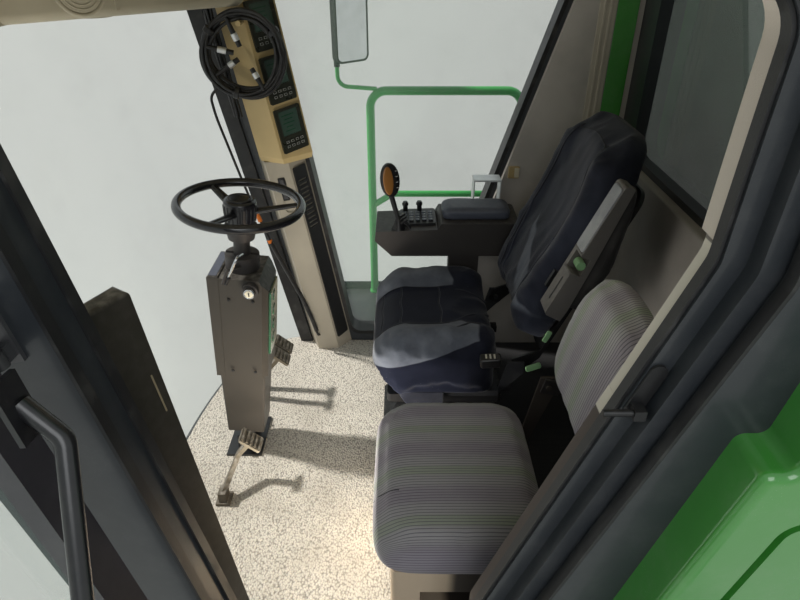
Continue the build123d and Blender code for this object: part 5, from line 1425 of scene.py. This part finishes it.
# %% Coil of cable
COIL_MIDDLE = Vector((-0.628, -0.500, DECK + 1.205))
coil_points = []
COIL_TURNS = 9
for step in range(COIL_TURNS * 18):
    turn = math.tau * step / 18
    loop = step / 18
    reach = 0.121 + 0.012 * math.sin(loop * 2.4) + 0.006 * math.sin(turn * 2 + loop * 1.7)
    side = 0.013 * math.cos(loop * 1.9) + 0.004 * math.sin(turn * 2 + loop * 2)
    coil_points.append(COIL_MIDDLE + Vector((side, reach * math.cos(turn), reach * math.sin(turn))))
coil = wire("tied_cable_coil", coil_points, 0.0056, RUBBER, "cab")
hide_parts("cable_coil")
ties = bmesh.new()
for turn in (0.6, 2.5, 4.4):
    middle = COIL_MIDDLE + Vector((0, 0.122 * math.cos(turn), 0.122 * math.sin(turn)))
    along = Vector((0, -math.sin(turn), math.cos(turn)))
    add_rod(ties, middle - along * 0.009, middle + along * 0.009, 0.0195, segments=24)
keep(ties, "coil_ties", BLACK, "cab", 40, 0.002)

# %% Plugs on the coil
plug_metal = bmesh.new()
plug_black = bmesh.new()
for turn, reach, length in ((1.9, 0.070, 0.042), (2.9, 0.082, 0.050), (3.7, 0.060, 0.038), (5.2, 0.078, 0.034)):
    way = Vector((0.12, math.cos(turn), math.sin(turn)))
    foot = COIL_MIDDLE + Vector((0.012, 0.118 * math.cos(turn), 0.118 * math.sin(turn)))
    neck = foot - way * (0.118 - reach)
    add_rod(plug_black, foot, neck, 0.0060, 0.0085, 16)
    add_rod(plug_metal, neck, neck - way * length * 0.55, 0.0105, 0.0100, 20)
    add_rod(plug_black, neck - way * length * 0.55, neck - way * length, 0.0085, 0.0080, 20)
keep(plug_metal, "coil_plug_shells", BRIGHT, "cab", 40, 0.001)
keep(plug_black, "coil_plug_boots", BLACK, "cab", 40, 0.001)
BUNDLE_WIRES = 5
for number in range(BUNDLE_WIRES):
    turn = math.tau * number / BUNDLE_WIRES
    side = Vector((0.006 * math.cos(turn), 0.010 * math.sin(turn), 0))
    run = []
    for step in range(8):
        middle = Vector((-0.692, -0.616 + 0.008 * step, DECK + 1.345 - 0.050 * step))
        run.append(middle + side * (1 + 0.5 * math.sin(3 * step + number)))
    wire(f"post_bundle_{number}", run, 0.0058, RUBBER, "cab")
connector = bmesh.new()
add_rod(connector, (-0.6675, -0.5255, DECK + 0.612), (-0.6635, -0.5425, DECK + 0.672), 0.0085, 0.0075, 18)
add_rod(connector, (-0.6735, -0.4985, DECK + 0.520), (-0.6725, -0.5030, DECK + 0.534), 0.0092, 0.0092, 18)
keep(connector, "lead_connector", ORANGE, "cab", 40, 0.0015)
sleeve_line = [(-0.6725, -0.503, DECK + 0.535), (-0.680, -0.448, DECK + 0.390), (-0.684, -0.384, DECK + 0.230),
               (-0.683, -0.352, DECK + 0.105)]
wire("lead_sleeve", sleeve_line, 0.0085, RUBBER, "cab", sides=5)

# %% Mirror glass
MIRROR_FACE = placed((-1.3155, -0.213, DECK + 1.295), (-0.66, 0.75, 0), (0.75, 0.66, 0))
glass = bmesh.new()
add_slab(glass, MIRROR_FACE @ shift(z=0.0172), 0.153, 0.433, 0.0028, 0.022, 6)
keep(glass, "mirror_pane", MIRROR_GLASS, "cab")
print("post and mirror done")

# %% Speaker in the overhead console's slanting edge
SPEAKER = placed((-0.2965, -0.8185, DECK + 1.4195), (0.72, -0.69, 0), (0.69, 0.72, 0))
speaker = bmesh.new()
add_ring(speaker, SPEAKER, 0.0640, 0.0055, 12, 64)
add_oval(speaker, SPEAKER @ shift(z=-0.002), 0.118, 0.118, 0.0060, 0.003)
for number in range(5):
    add_ring(speaker, SPEAKER @ shift(z=0.0040), 0.010 + 0.010 * number, 0.0016, 8, 48)
keep(speaker, "overhead_speaker", LINER, "cab", 50)
ridge = bmesh.new()
add_slab(ridge, SPEAKER @ shift(x=-0.088, y=0.0, z=-0.001), 0.010, 0.120, 0.0060, 0.002)
keep(ridge, "overhead_ridge", LINER, "cab", 40, 0.0015)

# %% [markdown]
# ## Rear pillar
# Beside the rear window the felt ends at a ribbed strip, and past it the painted steel shows. The
# tan block low on the pillar is the socket that the display units once plugged into.

# %% Strip, painted edge and socket of the right rear pillar
PILLAR_X = -0.746
WINDOW_FOOT = DECK + 0.80
WINDOW_HEAD = DECK + 1.40


def on_pillar(y, height):
    """A place on the inner face of the right rear pillar, its x axis to the rear."""
    return placed((PILLAR_X - 0.001, y, height), (0, 1, 0), (1, 0, 0))


pillar_middle = (WINDOW_FOOT + WINDOW_HEAD) / 2
pillar_tall = WINDOW_HEAD - WINDOW_FOOT
strip = bmesh.new()
add_slab(strip, on_pillar(0.678, pillar_middle), 0.056, pillar_tall, 0.0050, 0.004)
for number in range(2):
    add_slab(strip, on_pillar(0.668 + 0.020 * number, pillar_middle), 0.009, pillar_tall - 0.01, 0.0075, 0.002)
keep(strip, "rear_pillar_strip", STRIP_BEIGE, "cab", 40, 0.001)
painted_edge = bmesh.new()
add_slab(painted_edge, on_pillar(0.744, pillar_middle), 0.070, pillar_tall, 0.0035, 0.003)
keep(painted_edge, "rear_pillar_paint", GREEN, "cab", 40, 0.001)
block = bmesh.new()
add_slab(block, on_pillar(0.4240, DECK + 0.778), 0.040, 0.044, 0.0120, 0.002)
keep(block, "pillar_socket", HOUSING_TAN, "cab", 40, 0.001)
block_face = bmesh.new()
add_slab(block_face, on_pillar(0.4345, DECK + 0.778), 0.018, 0.036, 0.0130, 0.002)
keep(block_face, "pillar_socket_face", CREAM, "cab", 40, 0.001)

# %% Recliner handle and the green levers beside the seat
handle = bmesh.new()
add_slab(handle, placed((0.030, 0.262, DECK + 0.470), (0, 1, 0), (0.25, -0.10, 1)), 0.060, 0.030, 0.034, 0.007)
keep(handle, "recliner_handle", BLACK, "seat", 40, 0.004)
handle_marks = bmesh.new()
for number in range(3):
    mark = placed((0.0385, 0.246 + 0.012 * number, DECK + 0.5045), (0, 1, 0), (0.25, -0.10, 1))
    add_slab(handle_marks, mark, 0.005, 0.016, 0.0012, 0.001)
keep(handle_marks, "recliner_handle_marks", SCREW, "seat", 40)
green_levers = bmesh.new()
add_slab(green_levers, placed((0.030, 0.386, DECK + 0.462), (0, 1, 0.35), (1, 0, 0.2)), 0.046, 0.018, 0.007, 0.006)
add_slab(green_levers, placed((0.028, 0.413, DECK + 0.568), (0, 0.5, 1), (1, 0, 0.2)), 0.036, 0.015, 0.007, 0.005)
keep(green_levers, "seat_green_levers", KNOB_GREEN, "seat", 40, 0.002)

# %% Pale wear mark down the blade cover of the left post
MARK_TOP = Vector((0.666, -0.396, DECK + 0.934))
MARK_FOOT = Vector((0.664, -0.387, DECK + 0.857))
BLADE_OUT = (0.44, 0.89, 0.09)
WEAR = moulded("worn_edge_plastic", (0.34, 0.28, 0.17), 0.6, 0.1)
mark = bmesh.new()
mark_place = placed((MARK_TOP + MARK_FOOT) / 2, MARK_FOOT - MARK_TOP, BLADE_OUT)
add_slab(mark, mark_place, (MARK_FOOT - MARK_TOP).length, 0.0032, 0.0008, 0.0014)
keep(mark, "post_cover_wear", WEAR, "cab", 40)

# %% [markdown]
# ## Small fasteners
# Two screws hold the brown strip of the jamb. Behind, a pressed panel with hex bolts gives access to
# what runs under the floor.

# %% Screws in the jamb
jamb_screws = bmesh.new()
for y, height in ((0.232, 0.660), (0.244, 0.640)):
    hit = on_surface(NODES["jamb_trims"], [(0.3, y, DECK + height)], (1, 0, 0))
    for spot in hit:
        add_rod(jamb_screws, spot, spot - Vector((0.0030, 0, 0)), 0.0055, 0.0042, 16)
if jamb_screws.verts:
    keep(jamb_screws, "jamb_screws", SCREW, "cab", 40)
else:
    jamb_screws.free()

# %% Access panel on the rear wall
PANEL_SIZE = (1.16, 0.54)
PANEL_HEIGHT = 0.40
panel_middle = on_surface(NODES["rear_wall"], [(0, 1.2, DECK + PANEL_HEIGHT)], (0, -1, 0), -0.001)[0]
panel_place = placed(panel_middle, (1, 0, 0), (0, 1, 0))
access_panel = bmesh.new()
add_slab(access_panel, panel_place, *PANEL_SIZE, 0.005, 0.030, 6)
for side in (-1, 1):
    add_slab(access_panel, panel_place @ shift(x=side * PANEL_SIZE[0] / 4), 0.49, 0.42, 0.010, 0.045, 8)
keep(access_panel, "rear_access_panel", SLATE, "cab", 40, 0.002)
panel_bolts = bmesh.new()
for x in (-0.55, -0.18, 0.18, 0.55):
    for z in (-0.25, 0.25):
        foot = panel_place @ shift(x, z, 0.004)
        add_rod(panel_bolts, foot.translation, (foot @ shift(z=0.007)).translation, 0.0075, 0.0070, 6)
keep(panel_bolts, "rear_panel_bolts", STEEL, "cab", 40)
